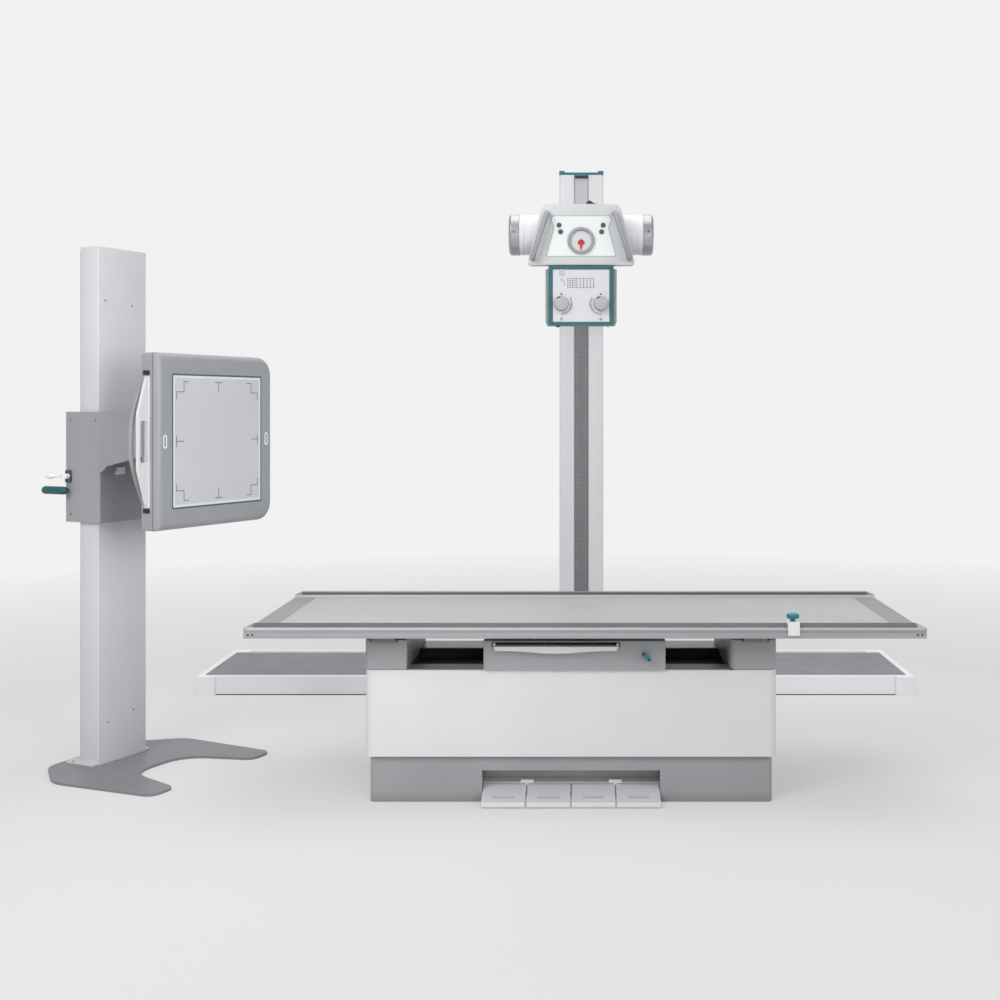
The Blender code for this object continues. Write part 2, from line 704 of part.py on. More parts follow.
def make_table_bucky():
    """Housing that slides between the end blocks, with a slot for the detector tray."""
    left = HOUSING_CENTRE_X - HOUSING_WIDTH / 2
    right = HOUSING_CENTRE_X + HOUSING_WIDTH / 2
    top = HOUSING_BOTTOM + HOUSING_HEIGHT
    lip_bottom = HOUSING_BOTTOM - FASCIA_DROP
    outline = [(HOUSING_FRONT, lip_bottom), (HOUSING_FRONT + FASCIA_REACH, lip_bottom),
               (HOUSING_FRONT + FASCIA_REACH, HOUSING_BOTTOM), (HOUSING_BACK, HOUSING_BOTTOM),
               (HOUSING_BACK, top), (HOUSING_FRONT, top)]
    housing = slab("table_bucky_housing", outline, "X", left, right, "grey_paint")
    slot_left = TRAY_CENTRE_X - TRAY_SLOT_WIDTH / 2
    slot_right = TRAY_CENTRE_X + TRAY_SLOT_WIDTH / 2
    slot_top = TRAY_SLOT_BOTTOM + TRAY_SLOT_HEIGHT
    slot_back = HOUSING_FRONT + TRAY_SLOT_DEPTH
    cut(housing, box("tray_slot", (slot_left, HOUSING_FRONT - 0.1, TRAY_SLOT_BOTTOM),
                     (slot_right, slot_back, slot_top)))
    empty = pivot("bucky_travel", (HOUSING_CENTRE_X, 0, HOUSING_BOTTOM))
    hang(empty, housing)


def handle_outline(left, right, top):
    """Front view of the tray's grip: straight on top, sagging in the middle below."""
    width = right - left
    count = 12
    outline = [(right, top), (left, top)]
    for step in range(count + 1):
        share = step / count
        sag = math.sin(math.pi * share) ** 3
        outline.append((left + width * share, top - TRAY_HANDLE_HEIGHT - TRAY_HANDLE_SAG * sag))
    return outline


def make_detector_tray():
    """Shallow tray for the detector, open to the front, with a white grip across its edge."""
    left = TRAY_CENTRE_X - TRAY_SLOT_WIDTH / 2 + SLIDE_GAP
    right = TRAY_CENTRE_X + TRAY_SLOT_WIDTH / 2 - SLIDE_GAP
    back = HOUSING_FRONT + TRAY_SLOT_DEPTH - 0.005
    bottom = TRAY_SLOT_BOTTOM + GAP
    front = HOUSING_FRONT - SLIDE_GAP
    tray = box("detector_tray", (left, front - TRAY_HANDLE_REACH / 2, bottom),
               (right, back, bottom + TRAY_LIP_HEIGHT), "white_paint")
    pocket_top = bottom + TRAY_LIP_HEIGHT + 0.1
    cut(tray, box("lip_ends", (left - 0.1, front - 0.1, bottom + TRAY_FLOOR),
                  (right + 0.1, front + 0.0015, pocket_top)))
    cut(tray, box("tray_pocket", (left + TRAY_LIP, front - 0.01, bottom + TRAY_FLOOR - 0.0005),
                  (right - TRAY_LIP, back - TRAY_LIP, pocket_top)))
    grip_left = TRAY_CENTRE_X - TRAY_HANDLE_WIDTH / 2
    grip_right = TRAY_CENTRE_X + TRAY_HANDLE_WIDTH / 2
    outline = handle_outline(grip_left, grip_right, bottom + TRAY_FLOOR + 0.003)
    join(tray, slab("tray_grip", outline, "Y", front - TRAY_HANDLE_REACH, front))
    hang(pivot("tray_travel", (TRAY_CENTRE_X, front, bottom)), tray)


def make_lock_knob():
    """Small wing knob beside the tray that locks it."""
    x = HOUSING_CENTRE_X + HOUSING_WIDTH / 2 - LOCK_MARGIN
    z = HOUSING_BOTTOM + LOCK_HEIGHT
    face = HOUSING_FRONT - GAP
    half = LOCK_LENGTH / 2
    radius = LOCK_WIDTH / 2
    corners = [(-half, -radius), (half, -radius), (half, radius), (-half, radius)]
    outline = filleted(corners, radius * 0.98, 4)
    turned_outline = []
    for u, v in outline:
        point = Matrix.Rotation(math.radians(-45), 2) @ Vector((u, v))
        turned_outline.append((x + point.x, z + point.y))
    knob = slab("tray_lock_knob", turned_outline, "Y", face - LOCK_REACH, face - LOCK_REACH / 2, "teal")
    join(knob, disc("lock_hub", radius * 0.8, 0.0, LOCK_REACH * 0.7, (x, face, z), (0, -1, 0), None, 16))
    hang(pivot("lock_axis", (x, face, z)), knob)


def make_float_beams():
    """Cross beams that slide fore and aft on the end blocks and carry the tabletop."""
    half = BEAM_WIDTH / 2
    top = BEAM_BOTTOM + BEAM_HEIGHT
    groove_low = BEAM_BOTTOM + BEAM_HEIGHT * 0.3
    groove_high = BEAM_BOTTOM + BEAM_HEIGHT * 0.7
    reach = TOP_WIDTH / 2 - SIDE_RAIL_WIDTH - 0.013
    inner = half - BEAM_GROOVE
    centres = {"left": (-PEDESTAL_LENGTH / 2 + WELL_LEFT) / 2, "right": (PEDESTAL_LENGTH / 2 + WELL_RIGHT) / 2}
    beams = []
    for side, x in centres.items():
        outline = [(-half, BEAM_BOTTOM), (half, BEAM_BOTTOM), (half, groove_low), (inner, groove_low),
                   (inner, groove_high), (half, groove_high), (half, top), (-half, top), (-half, groove_high),
                   (-inner, groove_high), (-inner, groove_low), (-half, groove_low)]
        outline = [(x + u, v) for u, v in outline]
        beams.append(slab("float_beam_" + side, outline, "Y", -reach, reach, "dark_grey"))
    hang(pivot("float_cross", (0, 0, BEAM_BOTTOM)), *beams)


def side_rail_outline():
    """Section of the front side rail: accessory slot outside, raised edge and panel ledge inside."""
    outer = -TOP_WIDTH / 2
    inner = outer + SIDE_RAIL_WIDTH
    face = TOP_BOTTOM + SIDE_RAIL_FACE
    ledge = TOP_BOTTOM + SIDE_RAIL_LEDGE
    middle = TOP_BOTTOM + SLOT_CENTRE
    mouth = SLOT_MOUTH / 2
    wide = mouth + SLOT_UNDERCUT
    lip = outer + SLOT_LIP
    deep = outer + SLOT_DEPTH
    return [(outer, TOP_BOTTOM), (inner + SIDE_RAIL_LEDGE_WIDTH, TOP_BOTTOM),
            (inner + SIDE_RAIL_LEDGE_WIDTH, ledge), (inner, ledge), (inner, CREST_Z - 0.002),
            (inner - 0.004, CREST_Z), (outer + 0.002, face), (outer, face - 0.002), (outer, middle + mouth),
            (lip, middle + mouth), (lip, middle + wide), (deep, middle + wide), (deep, middle - wide),
            (lip, middle - wide), (lip, middle - mouth), (outer, middle - mouth)]


def make_tabletop():
    left = TOP_CENTRE_X - TOP_LENGTH / 2
    right = TOP_CENTRE_X + TOP_LENGTH / 2
    front = side_rail_outline()
    rear = [(-y, z) for y, z in reversed(front)]
    front_rail = slab("side_rail_front", front, "X", left, right, "aluminium")
    rear_rail = slab("side_rail_rear", rear, "X", left, right, "aluminium")
    slope = SIDE_RAIL_END_DROP / SIDE_RAIL_END_SLOPE
    past = 0.02
    for side, end, rise in ((-1, left, slope), (1, right, slope)):
        outline = [(end - side * SIDE_RAIL_END_SLOPE, CREST_Z), (end + side * past, CREST_Z - SIDE_RAIL_END_DROP - past * rise),
                   (end + side * past, CREST_Z + past), (end - side * SIDE_RAIL_END_SLOPE, CREST_Z + past)]
        for rail, low in ((front_rail, -TOP_WIDTH / 2 - past), (rear_rail, 0)):
            cut(rail, slab("rail_end_cut", outline, "Y", low, low + TOP_WIDTH / 2 + past))
    half = TOP_WIDTH / 2 - SIDE_RAIL_WIDTH - GAP
    bottom = TOP_BOTTOM + SIDE_RAIL_LEDGE + GAP
    panel = box("tabletop_panel", (left, -half, bottom), (right, half, bottom + PANEL_THICKNESS), "light_grey",
                0.0012)
    hang(pivot("float_length", (TOP_CENTRE_X, 0, TOP_BOTTOM)), front_rail, rear_rail, panel)


def make_rail_clamp():
    """Accessory clamp hooked over the front side rail, with its knob on top."""
    outer = -TOP_WIDTH / 2 - GAP
    inner = -TOP_WIDTH / 2 + SIDE_RAIL_WIDTH + GAP
    face = TOP_BOTTOM + SIDE_RAIL_FACE
    top = CREST_Z + CLAMP_TOP
    outline = [(outer - CLAMP_WALL, top - CLAMP_DROP), (outer, top - CLAMP_DROP), (outer, face + GAP),
               (inner - 0.0045, CREST_Z + GAP * 2), (inner, CREST_Z + GAP * 2), (inner, CREST_Z - CLAMP_LIP),
               (inner + CLAMP_WALL * 0.9, CREST_Z - CLAMP_LIP), (inner + CLAMP_WALL * 0.9, top),
               (outer - CLAMP_WALL, top)]
    clamp = slab("rail_clamp", outline, "X", CLAMP_X - CLAMP_WIDTH / 2, CLAMP_X + CLAMP_WIDTH / 2, "white_paint")
    add_chamfer(clamp, 0.001)
    middle = (outer - CLAMP_WALL + inner + CLAMP_WALL) / 2
    radius = CLAMP_KNOB_RADIUS
    height = CLAMP_KNOB_HEIGHT
    profile = [(0, height), (radius * 0.72, height), (radius * 0.95, height * 0.86), (radius, height * 0.66),
               (radius * 0.94, height * 0.42), (radius * 0.6, height * 0.28), (radius * 0.4, height * 0.22),
               (radius * 0.4, 0), (0, 0)]
    knob = turned("clamp_knob", profile, (CLAMP_X, middle, top + GAP), (0, 0, 1), "teal", 20)
    hang(pivot("clamp_travel", (CLAMP_X, outer, top)), clamp)
    hang(pivot("clamp_knob_axis", (CLAMP_X, middle, top)), knob)


def make_floor_rail():
    left = RAIL_CENTRE_X - RAIL_LENGTH / 2
    right = RAIL_CENTRE_X + RAIL_LENGTH / 2
    back = RAIL_FRONT + RAIL_DEPTH
    platform = box("rail_platform", (left + 0.002, RAIL_FRONT, 0.0), (right - 0.002, back, RAIL_HEIGHT),
                   "white_paint")
    skin = RAIL_SKIN
    underside = box("rail_underside", (left + RAIL_CAP_LENGTH, RAIL_FRONT + skin, -0.1),
                    (right - RAIL_CAP_LENGTH, back - skin, RAIL_HEIGHT - TREAD_THICKNESS - skin))
    ends = ((1, left), (2, right - RAIL_CAP_LENGTH))
    for number, x in ends:
        end = box("rail_end_%d" % number, (x, RAIL_FRONT - RAIL_CAP_REACH, 0.0),
                  (x + RAIL_CAP_LENGTH, back + RAIL_CAP_REACH, RAIL_HEIGHT - 0.0005))
        round_edges(end, "Z", 0.010, 3)
        join(platform, end)
    cut(platform, underside)
    recess_floor = RAIL_HEIGHT - TREAD_THICKNESS - TREAD_SINK
    cut(platform, box("tread_pocket", (left + RAIL_RIM, RAIL_FRONT + RAIL_RIM, recess_floor - GAP),
                      (right - RAIL_RIM, back - RAIL_REAR_RIM, RAIL_HEIGHT + 0.1)))
    inset = RAIL_RIM + GAP
    box("rail_tread", (left + inset, RAIL_FRONT + inset, recess_floor),
        (right - inset, back - RAIL_REAR_RIM - GAP, RAIL_HEIGHT - TREAD_SINK), "grey_paint")


def make_trolley():
    """Saddle that runs along the floor rail and carries the column's turntable."""
    front = RAIL_FRONT - GAP
    back = RAIL_FRONT + RAIL_DEPTH + GAP
    bottom = TROLLEY_BOTTOM
    top = bottom + TROLLEY_THICKNESS
    low = bottom - TROLLEY_DROP
    outline = [(front - TROLLEY_REACH, low), (front, low), (front, bottom), (back, bottom), (back, low),
               (back + TROLLEY_REACH, low), (back + TROLLEY_REACH, top - 0.012), (back + TROLLEY_REACH - 0.012, top),
               (front - TROLLEY_REACH + 0.012, top), (front - TROLLEY_REACH, top - 0.012)]
    half = TROLLEY_LENGTH / 2
    trolley = slab("column_trolley", outline, "X", COLUMN_X - half, COLUMN_X + half, "white_paint")
    turret = disc("turret", TURRET_RADIUS, -0.010, TURRET_HEIGHT, (COLUMN_X, COLUMN_MID_Y, top), (0, 0, 1), None,
                  32, 0.004)
    join(trolley, turret)
    hang(pivot("column_travel", (COLUMN_X, COLUMN_MID_Y, bottom)), trolley)


def make_column():
    """Hollow column with a scale let into its face, a cap, and the weight that hangs inside."""
    half = COLUMN_WIDTH / 2
    back = COLUMN_FRONT + COLUMN_DEPTH
    column = box("column_profile", (COLUMN_X - half, COLUMN_FRONT, COLUMN_BOTTOM),
                 (COLUMN_X + half, back, COLUMN_TOP), "white_paint")
    round_edges(column, "Z", COLUMN_RADIUS, 3)
    inner = half - COLUMN_WALL
    bore = box("column_bore", (COLUMN_X - inner, COLUMN_FRONT + COLUMN_WALL, COLUMN_BOTTOM - 0.1),
               (COLUMN_X + inner, back - COLUMN_WALL, COLUMN_TOP + 0.1))
    cut(column, bore)
    strip = SCALE_WIDTH / 2
    groove_back = COLUMN_FRONT + GAP + SCALE_THICKNESS + GAP
    groove = box("scale_groove", (COLUMN_X - strip - GAP, COLUMN_FRONT - 0.1, COLUMN_BOTTOM - 0.1),
                 (COLUMN_X + strip + GAP, groove_back, COLUMN_TOP + 0.1))
    cut(column, groove)
    scale = box("scale_strip", (COLUMN_X - strip, COLUMN_FRONT + GAP, COLUMN_BOTTOM + SCALE_END_SPACE),
                (COLUMN_X + strip, groove_back - GAP, COLUMN_TOP - SCALE_END_SPACE), "dark_grey")
    low = COLUMN_TOP + GAP
    edge = half + CAP_REACH
    high = low + CAP_THICKNESS
    ear = high + CAP_EAR_HEIGHT
    outline = [(-edge, low), (edge, low), (edge, ear), (edge - CAP_EAR_WIDTH * 0.8, ear),
               (edge - CAP_EAR_WIDTH, high), (CAP_EAR_WIDTH - edge, high), (CAP_EAR_WIDTH * 0.8 - edge, ear),
               (-edge, ear)]
    outline = [(COLUMN_X + x, z) for x, z in outline]
    cap = slab("column_cap", outline, "Y", COLUMN_FRONT - CAP_REACH, back + CAP_REACH, "teal")
    tab = box("cap_tab", (COLUMN_X - strip, COLUMN_FRONT - GAP - CAP_TAB_REACH, low - CAP_TAB_DROP),
              (COLUMN_X + strip, COLUMN_FRONT - GAP, low + CAP_THICKNESS * 0.6))
    join(cap, tab)
    weight = box("counterweight", (COLUMN_X - inner + GAP, COLUMN_FRONT + COLUMN_WALL + GAP, WEIGHT_BASE),
                 (COLUMN_X + inner - GAP, back - COLUMN_WALL - GAP, WEIGHT_BASE + WEIGHT_HEIGHT), "steel")
    add_chamfer(weight, 0.004)
    hang(pivot("column_turn", (COLUMN_X, COLUMN_MID_Y, COLUMN_BOTTOM)), column, scale, cap)
    hang(pivot("weight_travel", (COLUMN_X, COLUMN_MID_Y, WEIGHT_BASE)), weight)


def square_bar(name, half, front, back, finish=None):
    """A square bar along Y about the arm's axis."""
    return box(name, (COLUMN_X - half, front, HEAD_HEIGHT - half), (COLUMN_X + half, back, HEAD_HEIGHT + half),
               finish)


def make_arm():
    """Carriage on the column, the sleeve fixed to it and the inner arm that slides in the sleeve."""
    half = CARRIAGE_WIDTH / 2
    front = COLUMN_FRONT - CARRIAGE_WALL_Y
    back = COLUMN_FRONT + COLUMN_DEPTH + CARRIAGE_WALL_Y
    low = HEAD_HEIGHT - CARRIAGE_HEIGHT / 2
    high = HEAD_HEIGHT + CARRIAGE_HEIGHT / 2
    carriage = box("arm_carriage", (COLUMN_X - half, front, low), (COLUMN_X + half, back, high), "white_paint")
    round_edges(carriage, "Z", CARRIAGE_RADIUS, 3)
    add_chamfer(carriage, 0.004)
    hole = COLUMN_WIDTH / 2 + GAP
    cut(carriage, box("carriage_bore", (COLUMN_X - hole, COLUMN_FRONT - GAP, low - 0.1),
                      (COLUMN_X + hole, COLUMN_FRONT + COLUMN_DEPTH + GAP, high + 0.1)))
    sleeve_back = front - GAP
    sleeve_front = sleeve_back - SLEEVE_LENGTH
    sleeve = square_bar("arm_sleeve", SLEEVE_SIZE / 2, sleeve_front, sleeve_back, "light_grey")
    round_edges(sleeve, "Y", 0.008, 2)
    join(sleeve, square_bar("sleeve_flange", SLEEVE_FLANGE / 2, sleeve_back - SLEEVE_FLANGE_THICKNESS,
                            sleeve_back))
    bore = SLEEVE_SIZE / 2 - SLEEVE_WALL
    cut(sleeve, square_bar("sleeve_bore", bore, sleeve_front - 0.1, sleeve_back + 0.1))
    inner = square_bar("arm_inner", bore - GAP, ARM_FACE_Y + GAP, sleeve_front + INNER_ENGAGEMENT, "aluminium")
    cut(inner, square_bar("inner_hollow", bore - GAP - INNER_WALL, ARM_FACE_Y + INNER_END_PLATE,
                          sleeve_front + INNER_ENGAGEMENT + 0.1))
    hang(pivot("arm_lift", (COLUMN_X, COLUMN_MID_Y, HEAD_HEIGHT)), carriage, sleeve)
    hang(pivot("arm_extend", (COLUMN_X, sleeve_front, HEAD_HEIGHT)), inner)


def make_tube(head):
    """X-ray tube: barrel with its end caps, the trunnion behind it and the port below."""
    length = BARREL_LENGTH / 2
    radius = BARREL_RADIUS
    groove = radius - 0.002
    profile = [(0, length), (radius, length), (radius, length * 0.93), (groove, length * 0.92),
               (groove, length * 0.90), (radius, length * 0.89), (radius, -length * 0.89),
               (groove, -length * 0.90), (groove, -length * 0.92), (radius, -length * 0.93),
               (radius, -length), (0, -length)]
    centre = (COLUMN_X, 0.0, HEAD_HEIGHT)
    tube = turned("tube_housing", profile, centre, (1, 0, 0), "white_paint", 36)
    join(tube, disc("trunnion", TRUNNION_RADIUS, 0.03, ARM_FACE_Y, centre, (0, 1, 0), None, 24))
    join(tube, disc("port", PORT_RADIUS, 0.03, BARREL_RADIUS + PORT_DROP, centre, (0, 0, -1), None, 24))
    rim = BARREL_CAP_RADIUS
    high = BARREL_CAP_LENGTH
    cap = [(0, high - 0.004), (rim * 0.70, high - 0.004), (rim * 0.74, high), (rim - 0.006, high),
           (rim, high - 0.007), (rim, 0), (0, 0)]
    caps = []
    for side, name in ((-1, "tube_cap_left"), (1, "tube_cap_right")):
        place = (COLUMN_X + side * (length + GAP), 0.0, HEAD_HEIGHT)
        caps.append(turned(name, cap, place, (side, 0, 0), "dark_grey", 36))
    hang(head, tube, *caps)


def console_outline():
    """Front view of the console: narrow crown, straight flared sides and rounded feet."""
    crown = HEAD_HEIGHT + CONSOLE_TOP_RISE
    shoulder = crown - CONSOLE_SHOULDER_DROP
    foot = HEAD_HEIGHT - CONSOLE_BOTTOM_DROP
    knee = foot + CONSOLE_FOOT_RISE
    top, mid, low = CONSOLE_TOP_WIDTH / 2, CONSOLE_SHOULDER_WIDTH / 2, CONSOLE_BOTTOM_WIDTH / 2
    points = [(-low + 0.012, foot), (low - 0.012, foot), (low, knee), (mid, shoulder), (top, crown - 0.002),
              (top * 0.6, crown), (-top * 0.6, crown), (-top, crown - 0.002), (-mid, shoulder), (-low, knee)]
    radii = [0.01, 0.01, 0.006, 0.02, 0.01, 0, 0, 0.01, 0.02, 0.006]
    return [(COLUMN_X + x, z) for x, z in filleted(points, radii, 3)]


def make_console(head):
    """Control console in front of the tube, with its dial ring, grab handles and buttons."""
    console = slab("console_housing", console_outline(), "Y", CONSOLE_FRONT, CONSOLE_BACK, "white_paint")
    add_chamfer(console, 0.005, 2)
    dial_z = HEAD_HEIGHT - DIAL_DROP
    ring_front = CONSOLE_FRONT - DIAL_RING_HEIGHT
    ring = [(DIAL_BORE, 0), (DIAL_RADIUS - 0.002, 0), (DIAL_RADIUS, -0.002), (DIAL_RADIUS, -DIAL_RING_HEIGHT - 0.01),
            (DIAL_BORE, -DIAL_RING_HEIGHT - 0.01), (DIAL_BORE, 0)]
    join(console, turned("dial_ring", ring, (COLUMN_X, ring_front, dial_z), (0, -1, 0), None, 32))
    pieces = [console]
    for side, name in ((-1, "console_handle_left"), (1, "console_handle_right")):
        reach = CONSOLE_FRONT - HANDLE_STANDOFF
        seat = CONSOLE_FRONT - GAP
        top = (COLUMN_X + side * HANDLE_TOP_X, HEAD_HEIGHT + HANDLE_TOP_RISE)
        bottom = (COLUMN_X + side * HANDLE_BOTTOM_X, HEAD_HEIGHT - HANDLE_BOTTOM_DROP)
        path = [(top[0], seat, top[1]), (top[0], reach + 0.008, top[1])]
        for share in (0.07, 0.93):
            x = top[0] + (bottom[0] - top[0]) * share
            z = top[1] + (bottom[1] - top[1]) * share
            path.append((x, reach, z))
        path += [(bottom[0], reach + 0.008, bottom[1]), (bottom[0], seat, bottom[1])]
        pieces.append(pipe(name, path, HANDLE_RADIUS, "grey_paint", 3))
    hang(head, *pieces)
    tip = -POINTER_LENGTH
    wide = POINTER_WIDTH / 2
    stem = POINTER_STEM / 2
    half_arrow = [(stem, 0.004), (wide * 0.75, -0.0005), (wide, -0.006), (wide * 0.85, -0.011), (stem * 1.3, -0.0145),
                  (stem, -0.024)]
    arrow = half_arrow + [(0, tip)] + [(-x, z) for x, z in reversed(half_arrow)]
    arrow = [(COLUMN_X + x, dial_z + z) for x, z in arrow]
    face = CONSOLE_FRONT - 0.0012
    pointer = slab("dial_pointer", arrow, "Y", face - POINTER_THICKNESS, face, "red")
    join(pointer, disc("pointer_hub", POINTER_HUB_RADIUS, -0.0009, 0.0035, (COLUMN_X, face, dial_z), (0, -1, 0), None, 12))
    hang(pivot("pointer_axis", (COLUMN_X, CONSOLE_FRONT, dial_z)), pointer)
    for row, (x, rise) in BUTTON_PLACES.items():
        for side, word in ((-1, "left"), (1, "right")):
            place = (COLUMN_X + side * x, CONSOLE_FRONT, HEAD_HEIGHT + rise)
            depth = BUTTON_TRAVEL + 0.002
            well = disc("button_well", BUTTON_RADIUS + GAP, -depth - GAP, 0.02, place, (0, -1, 0), None, 16)
            cut(console, well)
            hang(head, well)
            button = disc("console_button_%s_%s" % (row, word), BUTTON_RADIUS, -0.002, BUTTON_REACH, place,
                          (0, -1, 0), "dark_grey", 16, 0.001)
            hang(pivot("button_axis_%s_%s" % (row, word), place), button)


def make_collimator():
    """Beam-limiting box below the tube, its front bezel and its two shutter knobs."""
    half = COLLIMATOR_WIDTH / 2
    top = COLLIMATOR_TOP
    low = top - COLLIMATOR_INSET - COLLIMATOR_HEIGHT
    front = COLLIMATOR_FRONT
    body = box("collimator_body", (COLUMN_X - half, front, low),
               (COLUMN_X + half, front + COLLIMATOR_DEPTH, top - COLLIMATOR_INSET), "light_grey")
    round_edges(body, "Z", 0.006, 3)
    plate = disc("swivel_plate", PORT_RADIUS * 1.3, 0.0, COLLIMATOR_INSET + 0.01,
                 (COLUMN_X, 0, top), (0, 0, -1), None, 24)
    join(body, plate)
    window = box("light_window", (COLUMN_X - 0.06, -0.06, low - 0.1), (COLUMN_X + 0.06, 0.06, low + 0.012))
    cut(body, window)
    across, up = BEZEL_WIDTH / 2, BEZEL_HEIGHT
    face = front - GAP
    outline = [(-across, BEZEL_TOP - up), (across, BEZEL_TOP - up), (across, BEZEL_TOP), (-across, BEZEL_TOP)]
    outline = [(COLUMN_X + x, z) for x, z in filleted(outline, 0.006, 2)]
    bezel = slab("collimator_bezel", outline, "Y", face - BEZEL_THICKNESS, face, "teal")
    border = BEZEL_BORDER
    hollow = box("bezel_hollow", (COLUMN_X - across + border, face - 0.1, BEZEL_TOP - up + BEZEL_RIM),
                 (COLUMN_X + across - border, face - BEZEL_THICKNESS + 0.003, BEZEL_TOP - BEZEL_RIM))
    cut(bezel, hollow)
    axis = pivot("collimator_axis", (COLUMN_X, 0, top))
    hang(axis, body, bezel)
    knob_face = face - BEZEL_THICKNESS + 0.003 - GAP
    radius, reach = COLLIMATOR_KNOB_RADIUS, COLLIMATOR_KNOB_REACH
    profile = [(0, reach), (radius - KNOB_CROWN_INSET, reach), (radius - KNOB_RIM_INSET, reach - KNOB_RIM_DROP),
               (radius, KNOB_SKIRT), (radius, 0), (0, 0)]
    for side, word in ((-1, "left"), (1, "right")):
        place = (COLUMN_X + side * COLLIMATOR_KNOB_X, knob_face, BEZEL_TOP - COLLIMATOR_KNOB_DROP)
        knob = turned("collimator_knob_" + word, profile, place, (0, -1, 0), "light_grey", 28)
        hang(pivot("knob_axis_" + word, place), knob)


def foot_outline():
    """Plan of the wall stand's foot plate: rounded heel and two prongs around a U-shaped notch."""
    points = [(FOOT_BACK, -FOOT_HEEL_HALF), (FOOT_BACK, FOOT_HEEL_HALF), (0, FOOT_HALF_WIDTH),
              (FOOT_TIP, FOOT_TIP_OUTER), (FOOT_TIP, FOOT_TIP_INNER), (FOOT_NOTCH, FOOT_NOTCH_HALF),
              (FOOT_NOTCH, -FOOT_NOTCH_HALF), (FOOT_TIP, -FOOT_TIP_INNER), (FOOT_TIP, -FOOT_TIP_OUTER),
              (0, -FOOT_HALF_WIDTH)]
    radii = [0.09, 0.09, 0.12, 0.042, 0.042, 0.12, 0.12, 0.042, 0.042, 0.12]
    return filleted(list(reversed(points)), list(reversed(radii)), 5)


def make_stand_column(frame):
    foot = slab("stand_foot", foot_outline(), "Z", 0.0, FOOT_THICKNESS, "dark_grey")
    half = STAND_WIDTH / 2
    top = STAND_BASE + STAND_HEIGHT
    column = box("stand_column", (-STAND_DEPTH, -half, STAND_BASE), (0, half, top), "white_paint")
    round_edges(column, "Z", STAND_RADIUS, 2)
    wall = STAND_WALL
    flange = box("stand_flange", (-STAND_DEPTH - STAND_FLANGE_REACH, -half - STAND_FLANGE_SIDE, STAND_BASE),
                 (-0.004, half + STAND_FLANGE_SIDE, STAND_BASE + STAND_FLANGE_THICKNESS))
    join(column, flange)
    cut(column, box("stand_hollow", (-STAND_DEPTH + wall, -half + wall, STAND_BASE - 0.1),
                    (-wall, half - wall, top - wall)))
    place_in(frame, foot, column)


def make_stand_carriage(frame):
    """Sleeve around the wall column with the outrigger that carries the bucky."""
    low = STAND_SLEEVE_BASE
    high = low + STAND_SLEEVE_HEIGHT
    back = -STAND_DEPTH - SLEEVE_BACK
    side = SLEEVE_HALF
    sleeve = box("stand_carriage", (back, -side, low), (SLEEVE_FRONT, side, high), "grey_paint")
    round_edges(sleeve, "Z", 0.004, 2)
    tip = SLEEVE_FRONT + OUTRIGGER_REACH
    root = high - OUTRIGGER_DEPTH
    outline = [(0.004, root), (0.030, root), (0.050, root + 0.020), (tip, root + OUTRIGGER_RISE), (tip, high),
               (0.004, high)]
    outrigger = slab("outrigger", outline, "Y", -side + 0.001, side - 0.001)
    wall = OUTRIGGER_WALL
    inside = [(SLEEVE_FRONT + wall, root - 0.1), (tip - wall, root - 0.1), (tip - wall, high - wall),
              (SLEEVE_FRONT + wall, high - wall)]
    cut(outrigger, slab("outrigger_hollow", inside, "Y", -side + wall, side - wall))
    join(sleeve, outrigger)
    half = STAND_WIDTH / 2 + GAP
    cut(sleeve, box("column_passage", (-STAND_DEPTH - GAP, -half, low - 0.1), (GAP, half, high + 0.1)))
    travel = pivot("stand_travel", (0, 0, low), frame)
    capsule_y = -side - GAP - CAPSULE_STANDOFF - CAPSULE_RADIUS
    grip = turned("carriage_grip", capsule_profile(), (CAPSULE_FRONT, capsule_y, CAPSULE_Z), (-1, 0, 0), "teal", 16)
    stud = disc("grip_stud", 0.007, 0.0, CAPSULE_STANDOFF + CAPSULE_RADIUS, (CAPSULE_FRONT - 0.018, -side - GAP, CAPSULE_Z),
                (0, -1, 0), None, 12)
    join(grip, stud)
    hang(travel, sleeve, grip)
    make_brake_lever(frame, side)
    return travel


def capsule_profile():
    """Half section of a bar with round ends, from its far end back to its root."""
    radius = CAPSULE_RADIUS
    length = CAPSULE_LENGTH
    profile = []
    for step in range(5):
        angle = math.radians(90 - 22.5 * step)
        profile.append((radius * math.cos(angle), length - radius + radius * math.sin(angle)))
    for step in range(5):
        angle = math.radians(22.5 * step)
        profile.append((radius * math.cos(angle), radius - radius * math.sin(angle)))
    profile[0] = (0, length)
    profile[-1] = (0, 0)
    return profile


def make_brake_lever(frame, side):
    """Brake lever on the carriage's side: a hub, a thin stem and an oval knob."""
    y = -side - GAP
    hub = disc("brake_lever", LEVER_HUB_RADIUS, 0.0, LEVER_HUB_LENGTH, (LEVER_X, y, LEVER_Z), (0, -1, 0), "steel", 16,
               0.0015)
    profile = [(0, LEVER_LENGTH)]
    for step in range(1, 6):
        angle = math.radians(180 * step / 6)
        height = LEVER_LENGTH - LEVER_KNOB_LENGTH / 2 * (1 - math.cos(angle))
        profile.append((max(LEVER_KNOB_RADIUS * math.sin(angle), LEVER_STEM_RADIUS), height))
    profile += [(LEVER_STEM_RADIUS, LEVER_LENGTH - LEVER_KNOB_LENGTH), (LEVER_STEM_RADIUS, 0), (0, 0)]
    stem = turned("lever_stem", profile, (LEVER_X, y - LEVER_HUB_LENGTH * 0.55, LEVER_Z), (-1, 0, 0), None, 14)
    join(hub, stem)
    hang(pivot("brake_axis", (LEVER_X, y, LEVER_Z), frame), hub)


